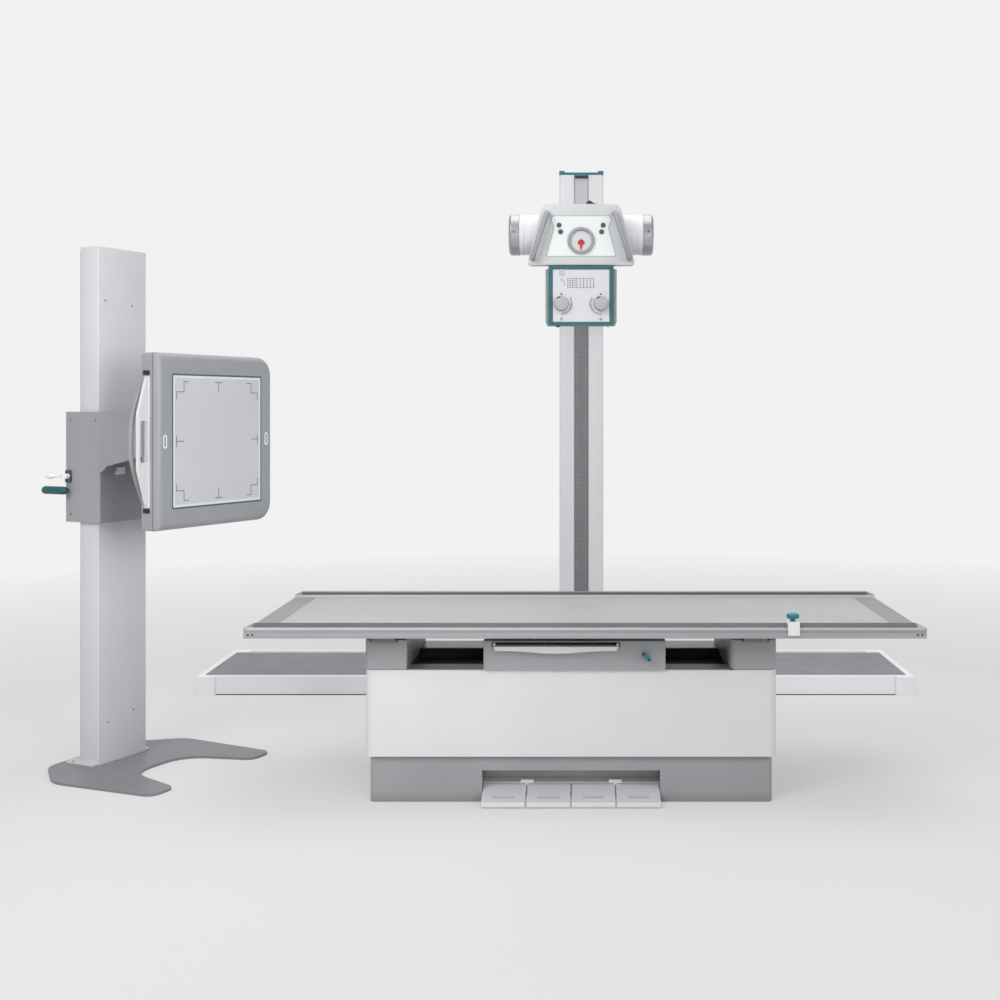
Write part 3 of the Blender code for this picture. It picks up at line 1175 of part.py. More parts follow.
def bucky_plate(name, back, face, half, corner, finish=None):
    """A square plate of the bucky whose right-hand corners are well rounded."""
    low, high = BUCKY_CENTRE_Z - half, BUCKY_CENTRE_Z + half
    points = [(-half, low), (half, low), (half, high), (-half, high)]
    outline = filleted(points, [BUCKY_SMALL_CORNER, corner, corner, BUCKY_SMALL_CORNER], 5)
    return slab(name, outline, "X", back, face, finish)


def pillow_plate(name, back, face, half, corner, edge, finish=None):
    """The bucky's plate with its front edge rolled over: outlines that draw in towards the face."""
    rings = []
    steps = 5
    for step in range(-1, steps + 1):
        angle = math.radians(90 * max(step, 0) / steps)
        inset = edge * (1 - math.cos(angle))
        depth = back if step < 0 else face - edge * (1 - math.sin(angle))
        low, high = BUCKY_CENTRE_Z - half + inset, BUCKY_CENTRE_Z + half - inset
        side = half - inset
        small = BUCKY_SMALL_CORNER - inset * BUCKY_SMALL_CORNER / (2 * edge)
        points = [(-side, low), (side, low), (side, high), (-side, high)]
        outline = filleted(points, [small, corner - inset, corner - inset, small], 5)
        rings.append([(depth, y, z) for y, z in outline])
    count = len(rings[0])
    points = [point for ring in rings for point in ring]
    faces = [tuple(reversed(range(count))), tuple(range(len(points) - count, len(points)))]
    for start in range(0, len(points) - count, count):
        for index in range(count):
            following = (index + 1) % count
            faces.append((start + index, start + following, start + count + following, start + count + index))
    mesh = bpy.data.meshes.new(name)
    mesh.from_pydata(points, [], faces)
    return add_object(name, mesh, finish)


def make_wall_bucky(travel):
    half = BUCKY_SIZE / 2
    rear = bucky_plate("bucky_rear_shell", BUCKY_BACK, BUCKY_SPLIT, half, BUCKY_CORNER * 0.9, "grey_paint")
    slot_back = BUCKY_BACK + STAND_TRAY_SLOT_BACK
    tray_half = STAND_TRAY_HEIGHT / 2
    slot_end = -half + STAND_TRAY_DEPTH
    cut(rear, box("bucky_slot", (slot_back, -half - 0.1, BUCKY_CENTRE_Z - tray_half),
                  (slot_back + STAND_TRAY_SLOT, slot_end, BUCKY_CENTRE_Z + tray_half)))
    front = pillow_plate("bucky_front_cover", BUCKY_SPLIT + GAP, BUCKY_FACE, half, BUCKY_CORNER, BUCKY_EDGE,
                         "grey_paint")
    across, up = PANEL_WIDTH / 2, PANEL_HEIGHT / 2
    floor = BUCKY_FACE - PANEL_POCKET
    cut(front, box("panel_pocket", (floor, -across - GAP, BUCKY_CENTRE_Z - up - GAP),
                   (BUCKY_FACE + 0.1, across + GAP, BUCKY_CENTRE_Z + up + GAP)))
    panel = box("bucky_panel", (floor + GAP, -across, BUCKY_CENTRE_Z - up),
                (floor + GAP + PANEL_SHEET, across, BUCKY_CENTRE_Z + up), "light_grey", 0.0008)
    hang(travel, rear, front, panel, make_bow_handle())


def make_bow_handle():
    """Curved grab bar behind the bucky's left edge."""
    seat = BUCKY_BACK - GAP
    reach = seat - BOW_STANDOFF
    high, low = BUCKY_CENTRE_Z + BOW_HEIGHT / 2, BUCKY_CENTRE_Z - BOW_HEIGHT / 2
    path = [(seat, -BOW_ROOT, high), (reach + 0.008, -BOW_ROOT, high)]
    count = 12
    for step in range(count + 1):
        share = step / count
        y = -BOW_ROOT - BOW_SWELL * math.sin(math.pi * share)
        path.append((reach, y, BUCKY_CENTRE_Z + (BOW_HEIGHT / 2 - 0.010) * (1 - 2 * share)))
    path += [(reach + 0.008, -BOW_ROOT, low), (seat, -BOW_ROOT, low)]
    return pipe("bow_handle", path, BOW_RADIUS, "grey_paint", 3)


def make_stand_tray(frame):
    """Tray that slides out of the bucky's left side, with its hand slot."""
    half = BUCKY_SIZE / 2
    back = BUCKY_BACK + STAND_TRAY_SLOT_BACK + GAP
    face = back + STAND_TRAY_SLOT - 2 * GAP
    low = BUCKY_CENTRE_Z - STAND_TRAY_HEIGHT / 2 + GAP
    high = BUCKY_CENTRE_Z + STAND_TRAY_HEIGHT / 2 - GAP
    end = -half + STAND_TRAY_DEPTH - 0.004
    lip = STAND_TRAY_LIP
    tray = box("stand_tray", (back, -half + 0.001, low), (face, end, high), "white_paint")
    cut(tray, box("stand_tray_pocket", (back + STAND_TRAY_FLOOR, -half + lip, low + lip),
                  (face + 0.1, end - lip, high - lip)))
    tip = -half - GRIP_REACH
    top, flat = GRIP_HEIGHT / 2, GRIP_FLAT / 2
    points = [(-half + 0.006, -top), (-half + 0.006, top), (-half - 0.004, top), (tip, flat), (tip, -flat),
              (-half - 0.004, -top)]
    points = [(y, BUCKY_CENTRE_Z + z) for y, z in points]
    grip_back = back + STAND_TRAY_FLOOR
    outline = filleted(points, [0, 0, 0.008, 0.04, 0.04, 0.008], 4)
    grip = slab("tray_hand_grip", list(reversed(outline)), "X", grip_back, grip_back + GRIP_THICKNESS)
    slot = GRIP_SLOT_LENGTH / 2
    near = tip + GRIP_SLOT_MARGIN
    far = near + GRIP_SLOT_WIDTH
    points = [(near, BUCKY_CENTRE_Z - slot), (far, BUCKY_CENTRE_Z - slot), (far, BUCKY_CENTRE_Z + slot),
              (near, BUCKY_CENTRE_Z + slot)]
    cut(grip, slab("hand_slot", filleted(points, 0.009, 3), "X", grip_back - 0.1, grip_back + GRIP_THICKNESS + 0.1))
    join(tray, grip)
    hang(pivot("stand_tray_travel", (back, -half, low), frame), tray)


def make_table():
    make_plinth()
    make_pedals()
    ram = make_lift()
    hang(pivot("table_lift", (0, PEDESTAL_MID_Y, BASE_FRAME_BOTTOM)), ram, *make_carriage())
    make_table_bucky()
    make_detector_tray()
    make_lock_knob()
    make_float_beams()
    make_tabletop()
    make_rail_clamp()


def make_tube_stand():
    make_floor_rail()
    make_trolley()
    make_column()
    make_arm()
    head = pivot("tube_tilt", (COLUMN_X, ARM_FACE_Y, HEAD_HEIGHT))
    make_tube(head)
    make_console(head)
    make_collimator()


def make_wall_stand():
    frame = pivot("wall_stand_frame", (STAND_X, STAND_Y, 0))
    frame.rotation_euler.z = STAND_TURN
    make_stand_column(frame)
    travel = make_stand_carriage(frame)
    make_wall_bucky(travel)
    make_stand_tray(frame)


def shade_round_pieces():
    """Smooth shading between faces that meet at a shallow angle."""
    for obj in PARTS.objects:
        if obj.type == "MESH" and obj.data.polygons:
            obj.data.shade_smooth()
            obj.data.set_sharp_from_angle(angle=math.radians(35))


def main():
    start_scene()
    make_table()
    make_tube_stand()
    make_wall_stand()
    shade_round_pieces()
    bpy.context.view_layer.update()


main()
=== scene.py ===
"""The digital radiography system as it looks: finishes and fine detail over the CAD frame."""
import math

import bmesh
import bpy
from mathutils import Matrix, Vector


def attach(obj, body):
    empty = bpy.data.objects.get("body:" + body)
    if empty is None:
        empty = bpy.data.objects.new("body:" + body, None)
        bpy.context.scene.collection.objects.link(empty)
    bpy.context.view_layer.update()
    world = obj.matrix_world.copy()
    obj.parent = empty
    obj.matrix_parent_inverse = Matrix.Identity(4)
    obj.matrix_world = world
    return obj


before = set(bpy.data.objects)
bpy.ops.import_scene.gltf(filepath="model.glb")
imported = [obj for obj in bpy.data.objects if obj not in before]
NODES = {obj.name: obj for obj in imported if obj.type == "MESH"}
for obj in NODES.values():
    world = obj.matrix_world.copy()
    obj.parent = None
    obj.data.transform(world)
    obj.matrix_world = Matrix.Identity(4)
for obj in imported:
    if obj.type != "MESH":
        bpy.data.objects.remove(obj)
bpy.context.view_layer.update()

X, Y, Z = Vector((1, 0, 0)), Vector((0, 1, 0)), Vector((0, 0, 1))
HEAD = Vector((0.033, 0.0, 1.907))
STAND = Vector((-1.6549, 0.2243, 0.0))
FORWARD = Vector((math.cos(math.radians(25)), -math.sin(math.radians(25)), 0.0))
ACROSS = Vector((math.sin(math.radians(25)), math.cos(math.radians(25)), 0.0))
SIDES = ((-1, "left"), (1, "right"))
CONSOLE_Y = -0.1200        # front face of the control console
COLUMN_X = 0.033
COLUMN_Y = 1.623           # axis of the tube stand's column
TABLE_X = 0.046            # middle of the tabletop
RAIL_X = -0.084            # middle of the floor rail
BUCKY_Z = 1.186            # middle of the wall bucky
KNOB_OUT = 0.0675          # shutter knobs, from the collimator's middle
SHARP = math.radians(38)   # edges that bend more than this stay sharp
PAPER_NEAR, PAPER_FAR = 2.8, 7.5   # the backdrop brightens between these distances from the origin


def linear(rgb):
    """Colour as seen on a screen, 0 to 255, to the value a shader takes."""
    values = []
    for value in rgb:
        share = value / 255
        values.append(share / 12.92 if share <= 0.04045 else ((share + 0.055) / 1.055) ** 2.4)
    return (*values, 1.0)


class Finish:
    """A Principled material built up step by step from texture nodes."""

    def __init__(self, name, rgb, roughness, metallic=0.0, coat=0.0):
        self.material = bpy.data.materials.new(name)
        self.material.use_nodes = True
        self.tree = self.material.node_tree
        self.shader = self.tree.nodes["Principled BSDF"]
        self.shader.inputs["Base Color"].default_value = linear(rgb)
        self.shader.inputs["Roughness"].default_value = roughness
        self.shader.inputs["Metallic"].default_value = metallic
        self.shader.inputs["Coat Weight"].default_value = coat
        self.shader.inputs["Coat Roughness"].default_value = 0.25
        self.material.diffuse_color = linear(rgb)
        self.rgb = rgb
        self.coordinates = self.add("ShaderNodeTexCoord").outputs["Object"]
        self.colour = None

    def add(self, kind, **settings):
        node = self.tree.nodes.new(kind)
        for key, value in settings.items():
            setattr(node, key, value)
        return node

    def link(self, output, socket):
        self.tree.links.new(output, socket)

    def stretched(self, scale):
        mapping = self.add("ShaderNodeMapping")
        mapping.inputs["Scale"].default_value = scale
        self.link(self.coordinates, mapping.inputs["Vector"])
        return mapping.outputs["Vector"]

    def noise(self, scale, detail=3.0, stretch=None):
        node = self.add("ShaderNodeTexNoise")
        node.inputs["Scale"].default_value = scale
        node.inputs["Detail"].default_value = detail
        self.link(self.stretched(stretch) if stretch else self.coordinates, node.inputs["Vector"])
        return node.outputs["Fac"]

    def axis(self, letter):
        split = self.add("ShaderNodeSeparateXYZ")
        self.link(self.coordinates, split.inputs["Vector"])
        return split.outputs[letter]

    def ranged(self, value, low, high, to_low=0.0, to_high=1.0):
        node = self.add("ShaderNodeMapRange")
        node.inputs["From Min"].default_value = low
        node.inputs["From Max"].default_value = high
        node.inputs["To Min"].default_value = to_low
        node.inputs["To Max"].default_value = to_high
        self.link(value, node.inputs["Value"])
        return node.outputs["Result"]

    def maths(self, operation, first, second):
        node = self.add("ShaderNodeMath", operation=operation)
        for value, socket in ((first, node.inputs[0]), (second, node.inputs[1])):
            if isinstance(value, (int, float)):
                socket.default_value = value
            else:
                self.link(value, socket)
        return node.outputs[0]

    def blend(self, factor, low, high):
        """Mix two colours, or the colour so far with another."""
        node = self.add("ShaderNodeMix", data_type="RGBA")
        self.link(factor, node.inputs["Factor"])
        for value, socket in ((low, node.inputs["A"]), (high, node.inputs["B"])):
            if isinstance(value, tuple):
                socket.default_value = linear(value)
            else:
                self.link(value, socket)
        self.colour = node.outputs["Result"]
        return self.colour

    def over(self, factor, rgb):
        self.blend(factor, self.colour or self.rgb, rgb)
        return self

    def mottled(self, amount=5, scale=4.0, stretch=None):
        """Slight unevenness of colour over the surface."""
        fac = self.ranged(self.noise(scale, 4.0, stretch), 0.3, 0.7)
        darker = tuple(value - amount for value in self.rgb)
        lighter = tuple(min(value + amount * 0.7, 255) for value in self.rgb)
        self.blend(fac, darker, lighter)
        return self

    def grained(self, depth, scale=700.0, stretch=None, spread=0.08):
        """Fine relief, with roughness that follows it."""
        fac = self.noise(scale, 2.0, stretch)
        rough = self.shader.inputs["Roughness"].default_value
        self.link(self.ranged(fac, 0.25, 0.75, rough - spread, rough + spread), self.shader.inputs["Roughness"])
        self.bump(fac, depth)
        return self

    def bump(self, height, depth):
        node = self.add("ShaderNodeBump")
        node.inputs["Strength"].default_value = 0.5
        node.inputs["Distance"].default_value = depth
        self.link(height, node.inputs["Height"])
        self.link(node.outputs["Normal"], self.shader.inputs["Normal"])

    def lighter_edges(self, rgb):
        """Lighter colour along sharp convex edges, found by how far the surface bends nearby."""
        node = self.add("ShaderNodeNewGeometry")
        edge = self.ranged(node.outputs["Pointiness"], 0.52, 0.60)
        self.over(self.maths("MULTIPLY", edge, 0.5), rgb)
        return self

    def done(self):
        if self.colour is not None:
            self.link(self.colour, self.shader.inputs["Base Color"])
        return self.material


def painted(name, rgb, roughness=0.40, amount=4, depth=0.00005, coat=0.15):
    """Powder-coated sheet metal: faint orange peel, faint mottling."""
    return Finish(name, rgb, roughness, coat=coat).mottled(amount, 3.0).grained(depth, 420.0).lighter_edges(
        tuple(min(value + 14, 250) for value in rgb)).done()


def moulded(name, rgb, roughness=0.45, amount=4, depth=0.00004):
    """Injection-moulded plastic with a fine spark-eroded grain."""
    return Finish(name, rgb, roughness).mottled(amount, 8.0).grained(depth, 1500.0).lighter_edges(
        tuple(min(value + 12, 250) for value in rgb)).done()


def drawn_metal(name, rgb, stretch, roughness=0.36, metallic=0.55):
    """Anodised or brushed metal with lines along one direction."""
    return Finish(name, rgb, roughness, metallic=metallic).mottled(9, 60.0, stretch).grained(
        0.00004, 500.0, stretch, 0.10).done()


def tread_finish():
    """Grey floor covering with fine ribs along the rail."""
    finish = Finish("tread", (148, 149, 154), 0.62).mottled(6, 9.0)
    ribs = finish.add("ShaderNodeTexWave", wave_type="BANDS", bands_direction="Y", wave_profile="SIN")
    ribs.inputs["Scale"].default_value = 60.0
    ribs.inputs["Distortion"].default_value = 0.0
    finish.link(finish.coordinates, ribs.inputs["Vector"])
    finish.over(finish.ranged(ribs.outputs["Fac"], 0.0, 0.35, 0.5, 0.0), (118, 119, 124))
    finish.bump(ribs.outputs["Fac"], 0.0006)
    return finish.done()


def tabletop_finish():
    """Grey laminate with darker end bands and a pale line where the bands begin."""
    finish = Finish("tabletop", (183, 184, 185), 0.48).mottled(3, 3.0).grained(0.00002, 900.0)
    finish.shader.inputs["Specular IOR Level"].default_value = 0.35
    along = finish.axis("X")
    centred = finish.maths("ABSOLUTE", finish.maths("SUBTRACT", along, TABLE_X), 0.0)
    band = finish.ranged(centred, 1.0155, 1.0175)
    finish.over(band, (149, 150, 152))
    across = finish.maths("ABSOLUTE", finish.axis("Y"), 0.0)
    edge = finish.ranged(across, 0.3520, 0.3535)
    finish.over(edge, (192, 193, 194))
    return finish.done()


def scale_finish():
    """Strip in the column's face: pale above the arm, darker below it, with dark side edges."""
    finish = Finish("scale_strip_finish", (126, 127, 129), 0.45, metallic=0.2).mottled(5, 20.0)
    finish.over(finish.ranged(finish.axis("Z"), 1.93, 1.95), (188, 189, 194))
    side = finish.maths("ABSOLUTE", finish.maths("SUBTRACT", finish.axis("X"), COLUMN_X), 0.0)
    finish.over(finish.maths("MULTIPLY", finish.ranged(side, 0.0288, 0.0296), 0.7), (88, 89, 91))
    return finish.done()


def detector_finish():
    return Finish("detector_face", (198, 200, 205), 0.42).mottled(2, 5.0).grained(0.00002, 1200.0).done()


def plinth_finish():
    """Grey paint that is a little darker close to the floor."""
    finish = Finish("plinth", (160, 161, 163), 0.5).mottled(4, 3.0).grained(0.00005, 420.0)
    finish.over(finish.ranged(finish.axis("Z"), 0.0, 0.035, 0.45, 0.0), (112, 113, 115))
    return finish.done()


def make_finishes():
    along_x, along_y, along_z = (0.02, 1, 1), (1, 0.02, 1), (1, 1, 0.02)
    return {
        "plinth": plinth_finish(),
        "cover": painted("cover_white", (222, 223, 224), 0.32),
        "white": painted("white_paint", (224, 225, 227), 0.34),
        "column": painted("column_white", (214, 215, 217), 0.36),
        "stand": painted("stand_white", (205, 206, 209), 0.46),
        "rail_white": painted("rail_white", (245, 246, 248), 0.36),
        "block": painted("block_grey", (160, 161, 163), 0.42),
        "carriage": painted("carriage_grey", (152, 153, 156), 0.50),
        "bucky": moulded("bucky_grey", (151, 153, 157), 0.38),
        "pedal": moulded("pedal_grey", (212, 213, 215), 0.50),
        "rail_side": drawn_metal("rail_aluminium", (176, 177, 179), along_x),
        "beam": drawn_metal("beam_aluminium", (120, 121, 123), along_y),
        "runner": drawn_metal("runner_aluminium", (150, 151, 153), along_x),
        "arm": drawn_metal("arm_aluminium", (196, 197, 200), along_y),
        "steel": drawn_metal("machined_steel", (132, 133, 136), along_z, 0.42, 0.8),
        "dark_frame_and_shadow": painted("dark_frame_and_shadow", (44, 45, 47), 0.55, 3),
        "tabletop": tabletop_finish(),
        "tread": tread_finish(),
        "strip": scale_finish(),
        "teal_cap": moulded("teal_cap", (42, 112, 118), 0.40),
        "teal_bezel": moulded("teal_bezel", (40, 98, 102), 0.38),
        "teal_knob": moulded("teal_knob", (10, 122, 136), 0.30),
        "teal_grip": moulded("teal_grip", (22, 84, 88), 0.48),
        "tube": painted("tube_white", (226, 227, 229), 0.30),
        "tube_cap": drawn_metal("tube_cap_grey", (176, 178, 182), along_x, 0.34, 0.85),
        "console": moulded("console_white", (206, 208, 209), 0.38),
        "faceplate": moulded("faceplate_white", (230, 233, 233), 0.32, 2),
        "handle": moulded("handle_grey", (152, 153, 156), 0.42),
        "button": moulded("button_grey", (78, 80, 84), 0.40),
        "red": moulded("pointer_red", (200, 34, 44), 0.30),
        "collimator": moulded("collimator_side", (140, 147, 154), 0.42),
        "collimator_face": moulded("collimator_face", (208, 209, 211), 0.38, 2),
        "shutter_knob": moulded("shutter_knob", (176, 177, 179), 0.40),
        "foot": painted("foot_plate", (126, 127, 131), 0.50, 5),
        "detector": detector_finish(),
        "tray": moulded("tray_white", (216, 217, 217), 0.40, 2),
        "print_teal": moulded("print_teal", (28, 92, 98), 0.45, 2),
        "dark_print_parts_and_shadow": moulded("dark_print_parts_and_shadow", (70, 72, 76), 0.55, 3),
        "grey_print_parts_and_shade": moulded("grey_print_parts_and_shade", (142, 143, 147), 0.55, 3),
        "black": moulded("black_rubber", (26, 27, 29), 0.55, 3),
        "white_trim": moulded("white_trim", (236, 237, 238), 0.32, 2),
        "screw": drawn_metal("screw_steel", (150, 151, 154), along_x, 0.34, 0.9),
        "light_glass": moulded("light_window", (205, 208, 210), 0.12, 2),
        "crest": painted("rail_crest", (88, 89, 91), 0.55),
        "slot_strip": painted("slot_strip", (150, 151, 153), 0.50),
        "inner_face_and_highlight": painted("rail_inner_face", (192, 193, 195), 0.50),
        "slot_grey": moulded("slot_grey", (108, 109, 112), 0.50, 3),
        "carriage_dark": painted("carriage_dark", (146, 147, 150), 0.55),
        "panel_border": moulded("panel_border", (214, 216, 219), 0.4, 2),
    }


FINISHES = make_finishes()

NODE_FINISH = {
    "table_plinth": "plinth", "lift_guide": "steel", "lift_ram": "steel", "counterweight": "steel",
    "pedal_hinge_rail": "white_trim", "rail_platform": "rail_white", "rail_tread": "tread",
    "stand_foot": "foot", "stand_column": "stand", "base_frame": "dark_frame_and_shadow", "pedestal_cover": "cover",
    "end_block_left": "block", "end_block_right": "block", "bucky_runner_front": "runner",
    "bucky_runner_rear": "runner", "table_bucky_housing": "block", "detector_tray": "tray",
    "tray_lock_knob": "teal_knob", "float_beam_left": "beam", "float_beam_right": "beam",
    "tabletop_panel": "tabletop", "side_rail_front": "rail_side", "side_rail_rear": "rail_side",
    "rail_clamp": "white_trim", "clamp_knob": "teal_knob", "column_trolley": "white",
    "column_profile": "column", "scale_strip": "strip", "column_cap": "teal_cap",
    "arm_carriage": "white", "arm_sleeve": "white", "arm_inner": "arm", "tube_housing": "tube",
    "tube_cap_left": "tube_cap", "tube_cap_right": "tube_cap", "console_housing": "console",
    "console_handle_left": "handle", "console_handle_right": "handle", "dial_pointer": "red",
    "collimator_body": "collimator", "collimator_bezel": "teal_bezel",
    "collimator_knob_left": "shutter_knob", "collimator_knob_right": "shutter_knob",
    "stand_carriage": "carriage", "carriage_grip": "teal_grip", "bucky_rear_shell": "bucky",
    "bucky_front_cover": "bucky", "bucky_panel": "detector", "bow_handle": "handle",
    "brake_lever": "white_trim", "stand_tray": "tray",
}

EDGE = {
    "pedestal_cover": 0.0015, "table_plinth": 0.002, "rail_platform": 0.004, "column_trolley": 0.003,
    "stand_foot": 0.002, "stand_column": 0.0015, "stand_carriage": 0.002, "arm_sleeve": 0.003,
    "table_bucky_housing": 0.002, "collimator_bezel": 0.0015, "collimator_body": 0.003,
    "column_profile": 0.001, "column_cap": 0.0015, "side_rail_front": 0.0006, "side_rail_rear": 0.0006,
}
PLAIN = {"rail_tread", "scale_strip", "bucky_panel", "console_housing", "bow_handle", "brake_lever",
         "carriage_grip", "console_handle_left", "console_handle_right", "dial_pointer", "clamp_knob"}


def soften(obj, width):
    """Merge the split corners of a CAD node and round its sharp edges a little."""
    if "custom_normal" in obj.data.attributes:
        obj.data.attributes.remove(obj.data.attributes["custom_normal"])
    obj.data.shade_smooth()
    weld = obj.modifiers.new("weld", "WELD")
    weld.merge_threshold = 0.00002
    if width:
        flat = obj.modifiers.new("flatten", "DECIMATE")
        flat.decimate_type = "DISSOLVE"
        flat.angle_limit = math.radians(0.5)
        bevel = obj.modifiers.new("soft_edge", "BEVEL")
        bevel.width = width
        bevel.segments = 2
        bevel.limit_method = "ANGLE"
        bevel.angle_limit = SHARP
        bevel.harden_normals = True
        bevel.use_clamp_overlap = True
    split = obj.modifiers.new("split", "EDGE_SPLIT")
    split.split_angle = SHARP


def dress_nodes():
    for name, node in NODES.items():
        key = NODE_FINISH.get(name)
        if key is None:
            key = "pedal" if name.startswith("foot_pedal") else "button"
        node.data.materials.clear()
        node.data.materials.append(FINISHES[key])
        for polygon in node.data.polygons:
            polygon.material_index = 0
        soften(node, 0.0 if name in PLAIN else EDGE.get(name, 0.001))


def plane(origin, right, up):
    """A place to draw on: first two axes in the surface, third one out of it."""
    out = right.cross(up)
    return Matrix.Translation(origin) @ Matrix((right, up, out)).transposed().to_4x4()


def on_stand(forward, across, height):
    return STAND + FORWARD * forward + ACROSS * across + Z * height


def finish_object(name, shape, place, look, body, smooth=False):
    """Turn a drawn shape into a piece that rides on a body; look names its finish."""
    material = FINISHES[look]
    mesh = bpy.data.meshes.new(name)
    bmesh.ops.remove_doubles(shape, verts=shape.verts, dist=0.000005)
    bmesh.ops.recalc_face_normals(shape, faces=shape.faces)
    shape.to_mesh(mesh)
    shape.free()
    mesh.transform(place)
    mesh.materials.append(material)
    if smooth:
        mesh.shade_smooth()
        mesh.set_sharp_from_angle(angle=SHARP)
    obj = bpy.data.objects.new(name, mesh)
    bpy.context.scene.collection.objects.link(obj)
    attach(obj, body)
    return obj


def flats(name, outlines, place, low, high, look, body, smooth=False):
    """Flat shapes of one thickness drawn on a plane, all in one piece."""
    shape = bmesh.new()
    for outline in outlines:
        add_flat(shape, outline, low, high)
    return finish_object(name, shape, place, look, body, smooth)


def add_flat(shape, outline, low, high):
    bottom = [shape.verts.new((u, v, low)) for u, v in outline]
    top = [shape.verts.new((u, v, high)) for u, v in outline]
    shape.faces.new(list(reversed(bottom)))
    shape.faces.new(top)
    count = len(outline)
    for index in range(count):
        following = (index + 1) % count
        shape.faces.new((bottom[index], bottom[following], top[following], top[index]))


def bar(u0, v0, u1, v1):
    return [(u0, v0), (u1, v0), (u1, v1), (u0, v1)]


def dot(u, v, radius, sides=16):
    return [(u + radius * math.cos(2 * math.pi * k / sides), v + radius * math.sin(2 * math.pi * k / sides))
            for k in range(sides)]


def stroke(points, width):
    """A line of one width through points, one strip per stretch with mitred overlap."""
    pieces = []
    half = width / 2
    for start, end in zip(points, points[1:]):
        first, last = Vector(start), Vector(end)
        way = (last - first).normalized()
        side = Vector((-way.y, way.x)) * half
        first, last = first - way * half, last + way * half
        pieces.append([tuple(first - side), tuple(last - side), tuple(last + side), tuple(first + side)])
    return pieces


def arc(u, v, radius, start, end, steps=16):
    return [(u + radius * math.cos(math.radians(start + (end - start) * k / steps)),
             v + radius * math.sin(math.radians(start + (end - start) * k / steps))) for k in range(steps + 1)]


def band(outer, inner, low, high, shape):
    """A closed ring between two outlines with the same number of points."""
    rows = []
    for outline, depth in ((outer, low), (outer, high), (inner, high), (inner, low)):
        rows.append([shape.verts.new((u, v, depth)) for u, v in outline])
    count = len(outer)
    for row in range(4):
        one, two = rows[row], rows[(row + 1) % 4]
        for index in range(count):
            following = (index + 1) % count
            shape.faces.new((one[index], one[following], two[following], two[index]))


def ring(name, outer, inner, place, low, high, look, body, smooth=False):
    shape = bmesh.new()
    band(outer, inner, low, high, shape)
    return finish_object(name, shape, place, look, body, smooth)


def rounded(points, radii, steps=5):
    """Round the corners of a closed outline."""
    if not isinstance(radii, (list, tuple)):
        radii = [radii] * len(points)
    outline = []
    for index, (point, radius) in enumerate(zip(points, radii)):
        corner = Vector(point)
        before = (Vector(points[index - 1]) - corner).normalized()
        after = (Vector(points[(index + 1) % len(points)]) - corner).normalized()
        half = before.angle(after) / 2
        centre = corner + (before + after).normalized() * (radius / math.sin(half))
        start = corner + before * (radius / math.tan(half)) - centre
        end = corner + after * (radius / math.tan(half)) - centre
        sweep = start.angle_signed(end)
        for step in range(steps + 1):
            outline.append(tuple(centre + Matrix.Rotation(-sweep * step / steps, 2) @ start))
    return outline


def lathe(name, profile, place, look, body, steps=24):
    """Turn a profile of (radius, height) about the plane's outward axis."""
    shape = bmesh.new()
    rings = []
    for radius, height in profile:
        if radius < 1e-7:
            rings.append([shape.verts.new((0, 0, height))])
        else:
            rings.append([shape.verts.new((radius * math.cos(2 * math.pi * k / steps),
                                           radius * math.sin(2 * math.pi * k / steps), height))
                          for k in range(steps)])
    for one, two in zip(rings, rings[1:]):
        for k in range(steps):
            following = (k + 1) % steps
            corners = [one[k % len(one)], one[following % len(one)], two[following % len(two)], two[k % len(two)]]
            unique = []
            for corner in corners:
                if corner not in unique:
                    unique.append(corner)
            if len(unique) > 2:
                shape.faces.new(unique)
    return finish_object(name, shape, place, look, body, True)


def bent_tube(name, points, radius, look, body, ribs=0, sides=12):
    """A round tube along a smooth path; ribs give it the look of corrugated conduit."""
    path = [Vector(point) for point in points]
    fine = []
    for index in range(len(path) - 1):
        before = path[max(index - 1, 0)]
        start, end = path[index], path[index + 1]
        after = path[min(index + 2, len(path) - 1)]
        count = max(ribs, 6)
        for step in range(count):
            t = step / count
            fine.append(0.5 * ((2 * start) + (end - before) * t + (2 * before - 5 * start + 4 * end - after) * t * t
                               + (3 * start - before - 3 * end + after) * t ** 3))
    fine.append(path[-1])
    shape = bmesh.new()
    rows = []
    normal = None
    for index, point in enumerate(fine):
        ahead = fine[min(index + 1, len(fine) - 1)]
        behind = fine[max(index - 1, 0)]
        way = (ahead - behind).normalized()
        if normal is None:
            normal = way.orthogonal().normalized()
        normal = (normal - way * normal.dot(way)).normalized()
        side = way.cross(normal)
        size = radius * (1.0 if not ribs or index % 2 else 0.84)
        rows.append([shape.verts.new(point + (normal * math.cos(2 * math.pi * k / sides)
                                              + side * math.sin(2 * math.pi * k / sides)) * size)
                     for k in range(sides)])
    for one, two in zip(rows, rows[1:]):
        for k in range(sides):
            shape.faces.new((one[k], one[(k + 1) % sides], two[(k + 1) % sides], two[k]))
    shape.faces.new(list(reversed(rows[0])))
    shape.faces.new(rows[-1])
    return finish_object(name, shape, Matrix.Identity(4), look, body, not ribs)


def screw_head(name, place, radius, body, look="screw"):
    """Low round screw head with a hexagon socket."""
    lathe(name, [(0, 0.0012), (radius * 0.7, 0.0012), (radius, 0.0004), (radius, -0.0005), (0, -0.0005)], place,
          look, body, 18)
    flats(name + "_socket", [dot(0, 0, radius * 0.45, 6)], place, 0.0010, 0.00135, "black", body)


